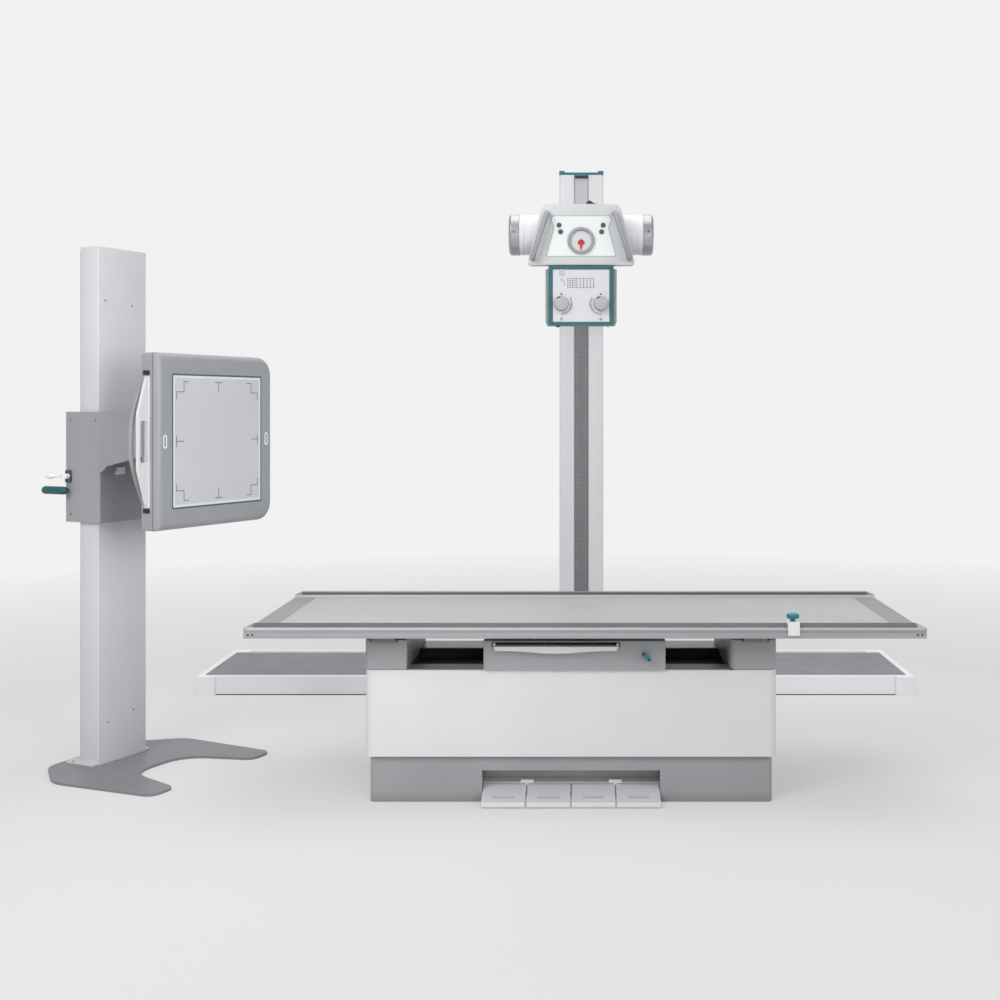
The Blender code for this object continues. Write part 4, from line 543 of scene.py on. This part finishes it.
def console_detail():
    face = plane(Vector((HEAD.x, CONSOLE_Y, HEAD.z)), X, Z)
    right = [(0.099, 0.0507), (0.1037, 0.0383), (0.0945, 0.0143), (0.0960, 0.0006), (0.1201, -0.0881)]
    outline = right[::-1] + [(-u, v) for u, v in right]
    radii = [0.003, 0.012, 0.012, 0.009, 0.006] + [0.006, 0.009, 0.012, 0.012, 0.003]
    outer = rounded(outline, radii)
    inner = rounded([(u * 0.987, v * 0.987 - 0.0003) for u, v in outline], [r * 0.95 for r in radii])
    ring("faceplate_outline", outer, inner, face, -0.0005, 0.0010, "print_teal", "head")
    flats("faceplate", [inner], face, -0.0005, 0.0008, "faceplate", "head")
    dial = plane(Vector((HEAD.x, CONSOLE_Y, HEAD.z - 0.0347)), X, Z)
    profile = [(0.0364, 0.0004), (0.0364, 0.0068), (0.0378, 0.0082), (0.0440, 0.0082), (0.0466, 0.0064),
               (0.0470, 0.0004)]
    lathe("dial_ring", profile, dial, "handle", "head", 48)
    flats("dial_face", [dot(0, 0, 0.0366, 40)], dial, -0.0005, 0.0009, "collimator_face", "head")
    marks = []
    for degree in range(0, 360, 15):
        length = 0.0045 if degree % 45 == 0 else 0.0025
        way = Vector((math.cos(math.radians(degree)), math.sin(math.radians(degree))))
        marks += stroke([tuple(way * (0.0340 - length)), tuple(way * 0.0340)], 0.0006)
    flats("dial_marks", marks, dial, 0.0006, 0.0011, "grey_print_parts_and_shade", "head")
    # Thin grey crescent just inside the top of the dial ring: painted shadow cast by the ring's lip, in the grey
    # print colour.
    shade = arc(0, 0, 0.0362, 44, 136) + list(reversed(arc(0, 0, 0.0346, 46, 134)))
    flats("dial_rim_shadow", [shade], dial, 0.0007, 0.0012, "grey_print_parts_and_shade", "head")
    lathe("pointer_cap", [(0, 0.0058), (0.0030, 0.0056), (0.0038, 0.0048), (0.0038, 0.0046)], dial,
          "dark_print_parts_and_shadow", "pointer", 16)
    for row, across, rise in (("upper", 0.0755, 0.0184), ("lower", 0.0700, -0.0044)):
        for side, word in SIDES:
            place = plane(Vector((HEAD.x + side * across, CONSOLE_Y, HEAD.z + rise)), X, Z)
            profile = [(0.0086, 0.0004), (0.0086, 0.0014), (0.0092, 0.0012), (0.0094, 0.0004)]
            lathe("button_collar_%s_%s" % (row, word), profile, place, "handle", "head", 24)
            flats("button_sign_%s_%s" % (row, word), button_sign(row, side), place, 0.0037, 0.0042,
                  "dark_print_parts_and_shadow", "button_%s_%s" % (row, word))
    seam = plane(Vector((HEAD.x, -0.0900, HEAD.z)), X, Z)
    ring("console_seam", console_outline(0.0003), console_outline(-0.0010), seam, -0.0006, 0.0006,
         "grey_print_parts_and_shade", "head")


def button_sign(row, side):
    """Plain arrow or bar on a push button."""
    if row == "upper":
        return [[(0.0, 0.0035), (-0.0032, -0.0022), (0.0032, -0.0022)]]
    return [bar(-0.0032, -0.0007, 0.0032, 0.0007)] if side < 0 else [dot(0, 0, 0.0028, 16)]


def console_outline(grow):
    """The housing's outline seen from the front, grown or shrunk a little."""
    crown, foot = 0.0914 + grow, -0.1175 - grow
    points = [(-0.172, foot), (0.172, foot), (0.184 + grow, foot + 0.006), (0.1375 + grow, crown - 0.018),
              (0.126, crown - 0.002), (-0.126, crown - 0.002), (-0.1375 - grow, crown - 0.018),
              (-0.184 - grow, foot + 0.006)]
    return rounded(points, [0.01, 0.01, 0.006, 0.02, 0.01, 0.01, 0.02, 0.006], 4)


def head_detail():
    for side, word in SIDES:
        spot = plane(Vector((HEAD.x + side * 0.2335, -0.0716, HEAD.z + 0.004)), X, Z)
        screw_head("cap_screw_" + word, spot, 0.0026, "head", "dark_print_parts_and_shadow")
        groove = plane(Vector((HEAD.x + side * 0.2150, 0, HEAD.z)), Y * side, Z)
        lathe("cap_joint_" + word, [(0.0700, 0.0), (0.0712, 0.0001), (0.0712, 0.0014), (0.0700, 0.0015)], groove,
              "black", "head", 48)
    conduit = [(0.054, 0.005, 1.962), (0.0535, 0.006, 2.000), (0.0550, 0.007, 2.016), (0.062, 0.008, 2.025),
               (0.076, 0.009, 2.016), (0.092, 0.010, 2.012), (0.105, 0.011, 2.000), (0.110, 0.012, 1.962)]
    bent_tube("head_conduit", conduit, 0.0062, "dark_print_parts_and_shadow", "head", 12)
    profile = [(0.0064, 0.022), (0.0078, 0.019), (0.0080, 0.012), (0.0094, 0.011), (0.0094, 0.004),
               (0.0080, 0.003), (0.0080, -0.004)]
    for number, (x, y) in enumerate(((0.054, 0.0055), (0.110, 0.012)), start=1):
        gland = plane(Vector((x, y, 1.966)), X, Y)
        lathe("conduit_gland_%d" % number, profile, gland, "dark_print_parts_and_shadow", "head", 16)
    collar = plane(Vector((HEAD.x, 0.1195, HEAD.z)), -X, Z)
    lathe("trunnion_collar", [(0.0505, -0.030), (0.0560, -0.028), (0.0560, -0.008), (0.0505, -0.006)], collar,
          "grey_print_parts_and_shade", "head", 40)


def collimator_detail():
    face = plane(Vector((HEAD.x, -0.1263, 1.6836)), X, Z)
    flats("collimator_faceplate", [rounded(bar(-0.0974, -0.0902, 0.0974, 0.0902), 0.002, 3)], face, -0.0003, 0.00015,
          "collimator_face", "collimator")
    grid = []
    left, right, low, high = -0.0460, -0.0210, 0.0275, 0.0590
    for k in range(4):
        u = left + (right - left) * k / 3
        grid += stroke([(u, low), (u, high)], 0.0013)
    for k in range(5):
        v = low + (high - low) * k / 4
        grid += stroke([(left, v), (right, v)], 0.0010)
    for k in range(6):
        u = -0.0145 + 0.0115 * k
        grid += stroke([(u, low), (u, high)], 0.0010)
        for row in range(6):
            grid.append(dot(u, low + (high - low) * row / 5, 0.0018, 8))
    grid += stroke([(left, low), (0.0450, low)], 0.0009)
    grid += stroke([(left, high), (0.0450, high)], 0.0009)
    flats("exposure_grid", grid, face, 0.0001, 0.00035, "dark_print_parts_and_shadow", "collimator")
    icon = stroke([(-0.0726, 0.0690), (-0.0566, 0.0690), (-0.0566, 0.0820), (-0.0726, 0.0820), (-0.0726, 0.0690)],
                  0.0010)
    icon += stroke([(-0.0646, 0.0690), (-0.0646, 0.0820)], 0.0008)
    icon += stroke([(-0.0726, 0.0755), (-0.0566, 0.0755)], 0.0008)
    icon += stroke([(-0.0690, 0.0530), (-0.0650, 0.0480), (-0.0600, 0.0520), (-0.0560, 0.0430), (-0.0600, 0.0340)],
                   0.0011)
    icon.append(dot(-0.0660, 0.0560, 0.0020, 12))
    flats("face_symbols", icon, face, 0.0001, 0.00035, "dark_print_parts_and_shadow", "collimator")
    dark = []
    for side, centre in ((-1, -KNOB_OUT), (1, KNOB_OUT)):
        v = -0.0273
        start, end = (-88, 32) if side < 0 else (148, 268)
        dark += stroke(arc(centre, v, 0.0345, start, end, 20), 0.0014)
        for k in range(11):
            angle = math.radians(start + (end - start) * k / 10)
            way = Vector((math.cos(angle), math.sin(angle)))
            length = 0.0045 if side > 0 or k % 5 == 0 else 0.0025
            spot = Vector((centre, v))
            dark += stroke([tuple(spot + way * 0.0352), tuple(spot + way * (0.0352 + length))], 0.0018)
        dark.append(bar(centre - 0.0032, 0.0026, centre + 0.0032, 0.0084))
        dark += stroke([(centre - 0.0042, -0.0800), (centre, -0.0755), (centre + 0.0042, -0.0800)], 0.0018)
        dark.append(bar(centre - 0.0022, -0.0852, centre + 0.0022, -0.0808))
    flats("shutter_scales", dark, face, 0.0001, 0.0004, "dark_print_parts_and_shadow", "collimator")
    for side, word in SIDES:
        place = plane(Vector((HEAD.x + side * KNOB_OUT, -0.1486, 1.6562)), X, Z)
        mark = arc(0, 0, 0.0236, 96, 132) + list(reversed(arc(0, 0, 0.0196, 100, 128)))
        body = "shutter_knob_" + word
        flats("knob_mark_" + word, [mark], place, -0.0004, 0.0003, "black", body)
        flutes = []
        for k in range(30):
            angle = 2 * math.pi * k / 30
            flutes.append(dot(0.0252 * math.cos(angle), 0.0252 * math.sin(angle), 0.0007, 6))
        flats("knob_flutes_" + word, flutes, place, -0.0190, -0.0030, "grey_print_parts_and_shade", body)
        profile = [(0, 0.0006), (0.0120, 0.0006), (0.0128, 0.0002), (0.0128, -0.0004)]
        lathe("knob_disc_" + word, profile, place, "shutter_knob", body, 32)
    below = plane(Vector((HEAD.x, -0.100, 1.5917)), X, -Y)
    foot = plane(Vector((HEAD.x - 0.080, -0.110, 1.5922)), X, -Y)
    lathe("lamp_button", [(0, 0.0155), (0.0050, 0.0155), (0.0065, 0.0140), (0.0065, 0.0), (0, 0.0)], foot,
          "black", "collimator", 20)
    flats("light_field_window", [rounded(bar(-0.062, -0.162, 0.062, -0.038), 0.006, 4)], below, -0.0118, -0.0100,
          "light_glass", "collimator")
    lever = [(HEAD.x + 0.092, -0.098, 1.594), (HEAD.x + 0.092, -0.100, 1.586), (HEAD.x + 0.092, -0.112, 1.576)]
    bent_tube("lamp_lever", lever, 0.0016, "screw", "collimator")
    for side, word in SIDES:
        place = plane(Vector((HEAD.x + side * 0.1220, -0.0130, 1.684)), side * Y, Z)
        for number, rise in enumerate((-0.070, 0.070), start=1):
            spot = place @ Matrix.Translation((0.0, rise, 0.0))
            screw_head("body_screw_%s_%d" % (word, number), spot, 0.0035, "collimator")
        strips = [bar(-0.075, -0.030 + k * 0.012, 0.075, -0.026 + k * 0.012) for k in range(6)]
        flats("body_vents_" + word, strips, place, -0.0003, 0.0003, "dark_print_parts_and_shadow", "collimator")


def column_detail():
    front = plane(Vector((COLUMN_X, 1.5333, 0.0)), X, Z)
    slots = []
    for k in range(86):
        v = 0.24 + 0.020 * k
        slots.append(rounded(bar(-0.0125, v - 0.0030, 0.0095, v + 0.0030), 0.0025, 2))
    flats("strip_slots", slots, front, -0.0004, 0.00008, "slot_grey", "column")
    bumper = plane(Vector((COLUMN_X, 1.5290, 2.3784)), X, Z)
    flats("cap_bumper", [rounded(bar(-0.0310, -0.0052, 0.0310, 0.0045), 0.0015, 3)], bumper, -0.004, 0.0018,
          "black", "column")
    for side in (-1, 1):
        lines = [bar(side * 0.0345 - 0.0006, 0.180, side * 0.0345 + 0.0006, 2.376)]
        flats("strip_edge_%d" % (side + 2), lines, plane(Vector((COLUMN_X, 1.5330, 0)), X, Z), -0.0004, 0.00012,
              "grey_print_parts_and_shade", "column")
    top = plane(Vector((COLUMN_X, COLUMN_Y, 2.4004)), X, Y)
    for k, (u, v) in enumerate(((-0.055, -0.060), (0.055, -0.060), (-0.055, 0.060), (0.055, 0.060))):
        screw_head("cap_top_screw_%d" % k, top @ Matrix.Translation((u, v, 0)), 0.005, "column")
    for side, word in SIDES:
        wall = plane(Vector((COLUMN_X + side * 0.1370, COLUMN_Y, HEAD.z)), side * Y, Z)
        for number, (u, v) in enumerate(((-0.09, -0.15), (0.09, -0.15), (-0.09, 0.15), (0.09, 0.15))):
            spot = wall @ Matrix.Translation((u, v, 0))
            screw_head("carriage_screw_%s_%d" % (word, number), spot, 0.0055, "carriage")
    for number, (u, v) in enumerate(((-0.080, -0.080), (0.080, -0.080), (-0.080, 0.080), (0.080, 0.080))):
        spot = plane(Vector((COLUMN_X + u, 1.4847, HEAD.z + v)), X, Z)
        screw_head("flange_screw_%d" % number, spot, 0.006, "carriage")
    turret = plane(Vector((COLUMN_X, COLUMN_Y, 0.1703)), X, Y)
    for number in range(6):
        angle = math.radians(30 + 60 * number)
        spot = turret @ Matrix.Translation((0.139 * math.cos(angle), 0.139 * math.sin(angle), 0))
        screw_head("turret_screw_%d" % number, spot, 0.005, "trolley")
    degrees = []
    for k in range(0, 360, 10):
        way = Vector((math.cos(math.radians(k)), math.sin(math.radians(k))))
        degrees += stroke([tuple(way * (0.144 if k % 30 else 0.141)), tuple(way * 0.1475)], 0.0009)
    flats("turret_scale", degrees, turret, -0.0004, 0.0001, "dark_print_parts_and_shadow", "trolley")


def table_detail():
    for side, x in (("left", -1.0380), ("right", 1.1300)):
        for number, shift in enumerate((0.0, 0.0140 if side == "left" else -0.0140), start=1):
            for word, y, right in (("rail", -0.4000, X), ("rear", 0.4000, -X)):
                spot = plane(Vector((x + shift, y, 0.5695)), right, Z)
                flats("%s_end_screw_%s_%d" % (word, side, number), [dot(0, 0, 0.0038, 14)], spot, -0.0005, 0.0005,
                      "dark_print_parts_and_shadow", "tabletop")
    for sign, word in ((-1, "front"), (1, "rear")):
        line = plane(Vector((TABLE_X, sign * 0.3995, 0.0)), X * -sign, Z)
        # Pale band along the rail's face: painted highlight, in the rail's inner-face colour.
        flats("rail_highlight_" + word, [bar(-1.0900, 0.5870, 1.0900, 0.5915)], line, -0.0006, 0.0009,
              "inner_face_and_highlight", "tabletop")
        groove = plane(Vector((TABLE_X, sign * 0.3995 * 0.9975, 0.0)), X * -sign, Z)
        flats("rail_slot_strip_" + word, [bar(-1.0985, 0.5759, 1.0985, 0.5821)], groove, -0.0018, 0.0,
              "slot_strip", "tabletop")
    for sign, word in ((-1, "front"), (1, "rear")):
        slope = rail_top_strip(sign)
        finish_object("rail_crest_" + word, slope, Matrix.Identity(4), "crest", "tabletop")
    wall = plane(Vector((TABLE_X, 0.3680, 0.0)), X, Z)
    flats("rear_rail_face_upper", [bar(-1.0700, 0.5915, 1.0700, 0.6015)], wall, -0.0006, 0.0004, "crest",
          "tabletop")
    flats("rear_rail_face_lower", [bar(-1.0975, 0.5828, 1.0975, 0.5908)], wall, -0.0006, 0.0004,
          "inner_face_and_highlight", "tabletop")
    flange = plane(Vector((0.246, -0.3366, 0.4866)), X, Z)
    tips = [dot(sign * 0.0095, -sign * 0.0095, 0.0043) for sign in (-1, 1)]
    flats("lock_tips", tips, flange, -0.0125, 0.0006, "black", "tray_lock")
    slot = plane(Vector((-0.0495, -0.3123, 0.5213)), X, Z)
    outer = rounded(bar(-0.2110, -0.0098, 0.2110, 0.0098), 0.0015, 3)
    inner = rounded(bar(-0.2070, -0.0076, 0.2070, 0.0076), 0.0010, 3)
    ring("tray_slot_trim", outer, inner, slot, -0.0010, 0.0003, "dark_frame_and_shadow", "table_bucky")
    # Thin dark strips along the tops of the bucky housing and end blocks: painted shadow of the gap under the
    # tabletop, in the frame's dark paint.
    shadow = plane(Vector((0.0115, -0.3123, 0.0)), X, Z)
    flats("bucky_top_shadow", [bar(-0.2985, 0.5345, 0.2985, 0.5361)], shadow, -0.0006, 0.0002, "dark_frame_and_shadow",
          "table_bucky")
    cover = plane(Vector((0.0, -0.3000, 0.0)), X, Z)
    for side, low, high in (("left", -0.6480, -0.5850), ("right", 0.5885, 0.6480)):
        flats("block_top_shadow_" + side, [bar(low, 0.5350, high, 0.5371)], cover, -0.0006, 0.0002,
              "dark_frame_and_shadow", "table_lift_unit")
    flats("cover_base_line", [bar(-0.650, 0.1512, 0.650, 0.1526)], cover, -0.0008, 0.0002, "grey_print_parts_and_shade",
          "table_lift_unit")
    for x, word in ((-0.500, "left"), (0.480, "right")):
        stop = plane(Vector((x, -0.160, 0.4071)), X, Y)
        lathe("well_stop_" + word, [(0, 0.012), (0.009, 0.012), (0.012, 0.009), (0.012, 0.0), (0, 0.0)], stop,
              "black", "table_lift_unit", 20)
    tilt = math.radians(13.5)
    up = Vector((0, math.cos(tilt), math.sin(tilt)))
    out = X.cross(up)
    for number in range(1, 5):
        centre = (number - 2.5) * 0.147
        origin = Vector((centre, -0.2465, 0.0405)) + out * 0.0065
        top = plane(origin, X, up)
        flats("pedal_edge_%d" % number, [bar(-0.0705, -0.1235, 0.0705, -0.1175)], top, -0.0006, 0.0004,
              "white_trim", "pedal_%d" % number)
        ribs = [bar(-0.036, -0.088 + 0.0055 * k, 0.036, -0.0862 + 0.0055 * k) for k in range(2)]
        flats("pedal_ribs_%d" % number, ribs, top, -0.0006, 0.0005, "grey_print_parts_and_shade", "pedal_%d" % number)
        lip = plane(origin + up * -0.1250 - out * 0.0065, X, out)
        flats("pedal_lip_%d" % number, [bar(-0.0700, -0.0048, 0.0700, 0.0050)], lip, -0.0006, 0.0004,
              "white_trim", "pedal_%d" % number)
    # Pale shelf and back strip in the pedal recess: painted light, coloured paler than the plinth so the shaded
    # recess reads brighter.
    shelf = plane(Vector((0.0, -0.2000, 0.0470)), X, Y)
    flats("recess_shelf", [bar(-0.2935, -0.0385, 0.2935, 0.0375)], shelf, 0.0, 0.0030, "white_trim", "base")
    back = plane(Vector((0.0, -0.1620, 0.0)), X, Z)
    flats("recess_back", [bar(-0.2935, 0.0505, 0.2935, 0.0990)], back, -0.0005, 0.0020, "pedal", "base")


def rail_top_strip(sign):
    """Thin dark strip that lies along the sloping crest of a side rail."""
    shape = bmesh.new()
    a = Vector((0, sign * 0.3985, 0.5945))
    b = Vector((0, sign * 0.3722, 0.6040))
    out = Vector((0, sign * 0.34, 0.94)) * 0.0005
    corners = []
    for x in (-1.0235, 1.1155):
        for point in (a, b):
            for lift in (-0.8, 1.0):
                corners.append(shape.verts.new(point + out * lift + Vector((x, 0, 0))))
    for face in ((0, 1, 3, 2), (4, 6, 7, 5), (0, 4, 5, 1), (2, 3, 7, 6), (0, 2, 6, 4), (1, 5, 7, 3)):
        shape.faces.new([corners[k] for k in face])
    return shape


def rail_detail():
    for x, word in ((-1.6225, "left"), (1.4544, "right")):
        place = plane(Vector((x, 1.3458, 0.0)), X, Z)
        flats("rail_seam_" + word, [bar(-0.0006, 0.002, 0.0006, 0.084)], place, -0.0004, 0.0003,
              "grey_print_parts_and_shade", "base")
    # Dark strip along the foot of the rail's front face: painted contact shadow, in the dark print colour.
    front = plane(Vector((RAIL_X, 1.3460, 0.0)), X, Z)
    flats("rail_contact_shadow", [bar(-1.5380, 0.0008, 1.5380, 0.0052)], front, -0.0006, 0.0004, "dark_print_parts_and_shadow",
          "base")
    top = plane(Vector((RAIL_X, 0.0, 0.0860)), X, Y)
    flats("rail_channel", [bar(-1.5380, 1.9560, 1.5380, 1.9680)], top, -0.0006, 0.0003, "grey_print_parts_and_shade", "base")


def stand_detail():
    face = plane(on_stand(0.0, 0.0, 0.0), ACROSS, Z)
    for number, (a, z) in enumerate(((-0.088, 1.689), (0.046, 1.679), (-0.072, 0.158), (0.052, 0.179)), start=1):
        flats("column_screw_%d" % number, [dot(a, z, 0.0042)], face, -0.0005, 0.0002, "screw", "base")
    side = plane(on_stand(0.0, -0.120, 0.0), FORWARD, Z)
    flats("column_fold", [bar(-0.0865, 0.030, -0.0858, 1.870)], side, -0.0004, 0.0003, "grey_print_parts_and_shade", "base")
    sleeve = plane(on_stand(0.0, -0.134, 0.0), FORWARD, Z)
    for number, (b, z) in enumerate(((-0.120, 0.915), (-0.120, 1.255), (0.000, 1.255), (0.170, 1.255)), start=1):
        screw_head("sleeve_screw_%d" % number, sleeve @ Matrix.Translation((b, z, 0)), 0.0048, "stand_slider")
    front = plane(on_stand(0.022, 0.0, 0.0), ACROSS, Z)
    clip = [rounded(bar(-0.062, 1.058, -0.024, 1.084), 0.004, 3)]
    flats("carriage_clip", clip, front, -0.001, 0.012, "white_trim", "stand_slider")
    lower = [bar(-0.1335, 0.8865, 0.1335, 1.068)]
    flats("carriage_shade", lower, front, -0.0006, 0.0004, "carriage_dark", "stand_slider")
    bracket = plane(on_stand(-0.128, -0.1343, 1.052), FORWARD, Z)
    outline = rounded(bar(-0.0135, -0.0220, 0.0135, 0.0220), 0.004, 3)
    inner = rounded(bar(-0.0105, -0.0105, 0.0105, 0.0105), 0.0102, 3)
    ring("lever_bracket", outline, inner, bracket, 0.0002, 0.0060, "dark_print_parts_and_shadow", "stand_slider")
    for number, across in enumerate((-0.131, 0.131), start=1):
        spot = plane(on_stand(-0.110, across, 0.0180), FORWARD, ACROSS)
        screw_head("flange_bolt_%d" % number, spot, 0.0070, "base")
    bucky_detail()


def stadium(u, v, half_width, half_height, steps=8):
    return rounded(bar(u - half_width, v - half_height, u + half_width, v + half_height), half_width * 0.999, steps)


def bucky_detail():
    panel = plane(on_stand(0.4454, 0.0, BUCKY_Z), ACROSS, Z)
    half_u, half_v = 0.2345, 0.2295
    outer = rounded(bar(-half_u, -half_v, half_u, half_v), 0.004, 3)
    inner = rounded(bar(-half_u + 0.0048, -half_v + 0.0048, half_u - 0.0048, half_v - 0.0048), 0.003, 3)
    ring("panel_frame", outer, inner, panel, -0.0006, 0.0006, "print_teal", "stand_slider")
    pale = rounded(bar(-half_u + 0.0135, -half_v + 0.0135, half_u - 0.0135, half_v - 0.0135), 0.002, 3)
    ring("panel_border", inner, pale, panel, -0.0006, 0.0003, "panel_border", "stand_slider")
    marks = []
    corner = [(0.022, 0.084), (0.022, 0.061), (0.058, 0.061), (0.058, 0.026), (0.082, 0.026)]
    for sign_u in (-1, 1):
        for sign_v in (-1, 1):
            points = [(sign_u * (half_u - u), sign_v * (half_v - v)) for u, v in corner]
            marks += stroke(points, 0.0022)
    for sign in (-1, 1):
        marks += stroke([(-0.019, sign * 0.2040), (0.019, sign * 0.2040)], 0.0022)
        marks += stroke([(0, sign * 0.2040), (0, sign * 0.1700)], 0.0022)
        marks += stroke([(sign * 0.2135, -0.018), (sign * 0.2135, 0.018)], 0.0022)
        marks += stroke([(sign * 0.2135, 0), (sign * 0.1770, 0)], 0.0022)
    flats("field_marks", marks, panel, 0.0001, 0.0005, "dark_print_parts_and_shadow", "stand_slider")
    for sign, word in SIDES:
        spot = plane(on_stand(0.4445, -0.2680 if sign < 0 else 0.2630, BUCKY_Z), ACROSS, Z)
        ring("cell_ring_" + word, stadium(0, 0, 0.0086, 0.0232), stadium(0, 0, 0.0050, 0.0190), spot, -0.004, 0.0018,
             "white_trim", "stand_slider", True)
        flats("cell_slot_" + word, [stadium(0, 0, 0.0051, 0.0191)], spot, -0.004, 0.0008, "black",
              "stand_slider")
    for sign, word in ((1, "upper"), (-1, "lower")):
        foot = plane(on_stand(0.3722, -0.262, BUCKY_Z + sign * 0.2275), -ACROSS, Z)
        profile = [(0.0092, 0.0003), (0.0125, 0.0003), (0.0125, 0.0040), (0.0105, 0.0065), (0.0092, 0.0065)]
        lathe("bow_ferrule_" + word, profile, foot, "black", "stand_slider", 24)
        shell = plane(on_stand(0.3950, -0.3000, BUCKY_Z + sign * 0.2320), FORWARD, Z)
        flats("bow_clip_" + word, [rounded(bar(-0.0130, -0.0075, 0.0130, 0.0075), 0.003, 3)], shell, -0.0005, 0.0040,
              "black", "stand_slider")
    seam = plane(on_stand(0.4204, 0.0, BUCKY_Z), ACROSS, Z)
    outer = rounded(bar(-0.3004, -0.3004, 0.3004, 0.3004), [0.008, 0.060, 0.060, 0.008], 6)
    inner = rounded(bar(-0.2985, -0.2985, 0.2985, 0.2985), [0.007, 0.059, 0.059, 0.007], 6)
    ring("bucky_seam", outer, inner, seam, -0.0008, 0.0008, "dark_print_parts_and_shadow", "stand_slider")


def paper_finish():
    """Backdrop paper that holds the object's shadow up close and turns even and pale further away."""
    finish = Finish("backdrop_paper", (232, 232, 233), 0.9)
    finish.shader.inputs["Specular IOR Level"].default_value = 0.0
    place = finish.add("ShaderNodeNewGeometry")
    away = finish.add("ShaderNodeVectorMath", operation="LENGTH")
    finish.link(place.outputs["Position"], away.inputs[0])
    distance = away.outputs["Value"]
    finish.blend(finish.ranged(distance, PAPER_NEAR, PAPER_FAR), (204, 204, 205), (232, 232, 233))
    rays = finish.add("ShaderNodeLightPath")
    seen = finish.maths("MAXIMUM", rays.outputs["Is Camera Ray"], rays.outputs["Is Glossy Ray"])
    share = finish.maths("MULTIPLY", seen, finish.ranged(distance, PAPER_NEAR, PAPER_FAR, 0.36, 0.80))
    glow = finish.add("ShaderNodeEmission")
    glow.inputs["Color"].default_value = linear((255, 255, 255))
    glow.inputs["Strength"].default_value = 1.0
    mixed = finish.add("ShaderNodeMixShader")
    finish.link(share, mixed.inputs["Fac"])
    finish.link(finish.shader.outputs["BSDF"], mixed.inputs[1])
    finish.link(glow.outputs["Emission"], mixed.inputs[2])
    finish.link(mixed.outputs["Shader"], finish.tree.nodes["Material Output"].inputs["Surface"])
    return finish.done()


def put(name, data):
    obj = bpy.data.objects.new(name, data)
    bpy.context.scene.collection.objects.link(obj)
    return obj


def make_backdrop():
    """A floor that bends up into a wall, far enough out to lie behind the object from every side."""
    half, bend_start, bend, top = 16.0, 12.0, 3.0, 14.0
    path = [(-half, 0.0), (bend_start, 0.0)]
    for step in range(1, 13):
        angle = math.radians(90 * step / 12)
        path.append((bend_start + bend * math.sin(angle), bend - bend * math.cos(angle)))
    path.append((bend_start + bend, top))
    shape = bmesh.new()
    rows = [[shape.verts.new((x, y, z)) for x in (-half, half)] for y, z in path]
    for one, two in zip(rows, rows[1:]):
        shape.faces.new((one[0], one[1], two[1], two[0]))
    mesh = bpy.data.meshes.new("backdrop")
    shape.to_mesh(mesh)
    shape.free()
    mesh.shade_smooth()
    mesh.materials.append(paper_finish())
    return put("backdrop", mesh)


LAMPS = (   # name, place, target, side in metres, power in watts, spread in degrees
    ("key", (-3.0, -4.0, 4.2), (-0.2, 0.4, 0.9), 2.8, 141, 180),
    ("fill", (4.2, -3.6, 2.8), (0.1, 0.5, 0.8), 3.5, 58, 180),
    ("top", (0.3, 0.8, 5.2), (0.1, 0.5, 0.5), 4.2, 98, 180),
    ("stand_fill", (0.5, -2.8, 1.5), (-1.65, 0.2, 1.2), 0.9, 5, 70),
)


def make_lamp(name, place, target, size, power, spread):
    lamp = bpy.data.lights.new(name, "AREA")
    lamp.shape = "SQUARE"
    lamp.size = size
    lamp.energy = power
    lamp.spread = math.radians(spread)
    obj = put(name, lamp)
    obj.location = place
    obj.rotation_euler = (Vector(target) - Vector(place)).to_track_quat("-Z", "Y").to_euler()
    return obj


def make_world():
    """Even light from all round, which the camera sees as a pale background."""
    world = bpy.data.worlds.new("studio")
    world.use_nodes = True
    tree = world.node_tree
    background = tree.nodes["Background"]
    background.inputs["Color"].default_value = linear((238, 238, 240))
    rays = tree.nodes.new("ShaderNodeLightPath")
    strength = tree.nodes.new("ShaderNodeMapRange")
    strength.inputs["To Min"].default_value = 0.59
    strength.inputs["To Max"].default_value = 0.96
    tree.links.new(rays.outputs["Is Camera Ray"], strength.inputs["Value"])
    tree.links.new(strength.outputs["Result"], background.inputs["Strength"])
    bpy.context.scene.world = world


def make_camera():
    camera = bpy.data.cameras.new("camera")
    camera.lens = 47.8
    camera.sensor_width = 36.0
    camera.shift_x = -0.082
    camera.shift_y = -0.091
    camera.clip_end = 60.0
    view = put("camera", camera)
    view.location = (0.036, -4.667, 1.296)
    view.rotation_euler = (math.radians(90), 0, 0)
    bpy.context.scene.camera = view
    return view


def studio():
    """Pale seamless floor and backdrop with plain soft light."""
    stage = [make_backdrop()]
    stage += [make_lamp(*row) for row in LAMPS]
    make_world()
    stage.append(make_camera())
    bpy.context.scene.view_settings.view_transform = "Standard"


dress_nodes()
console_detail()
head_detail()
collimator_detail()
column_detail()
table_detail()
rail_detail()
stand_detail()
studio()
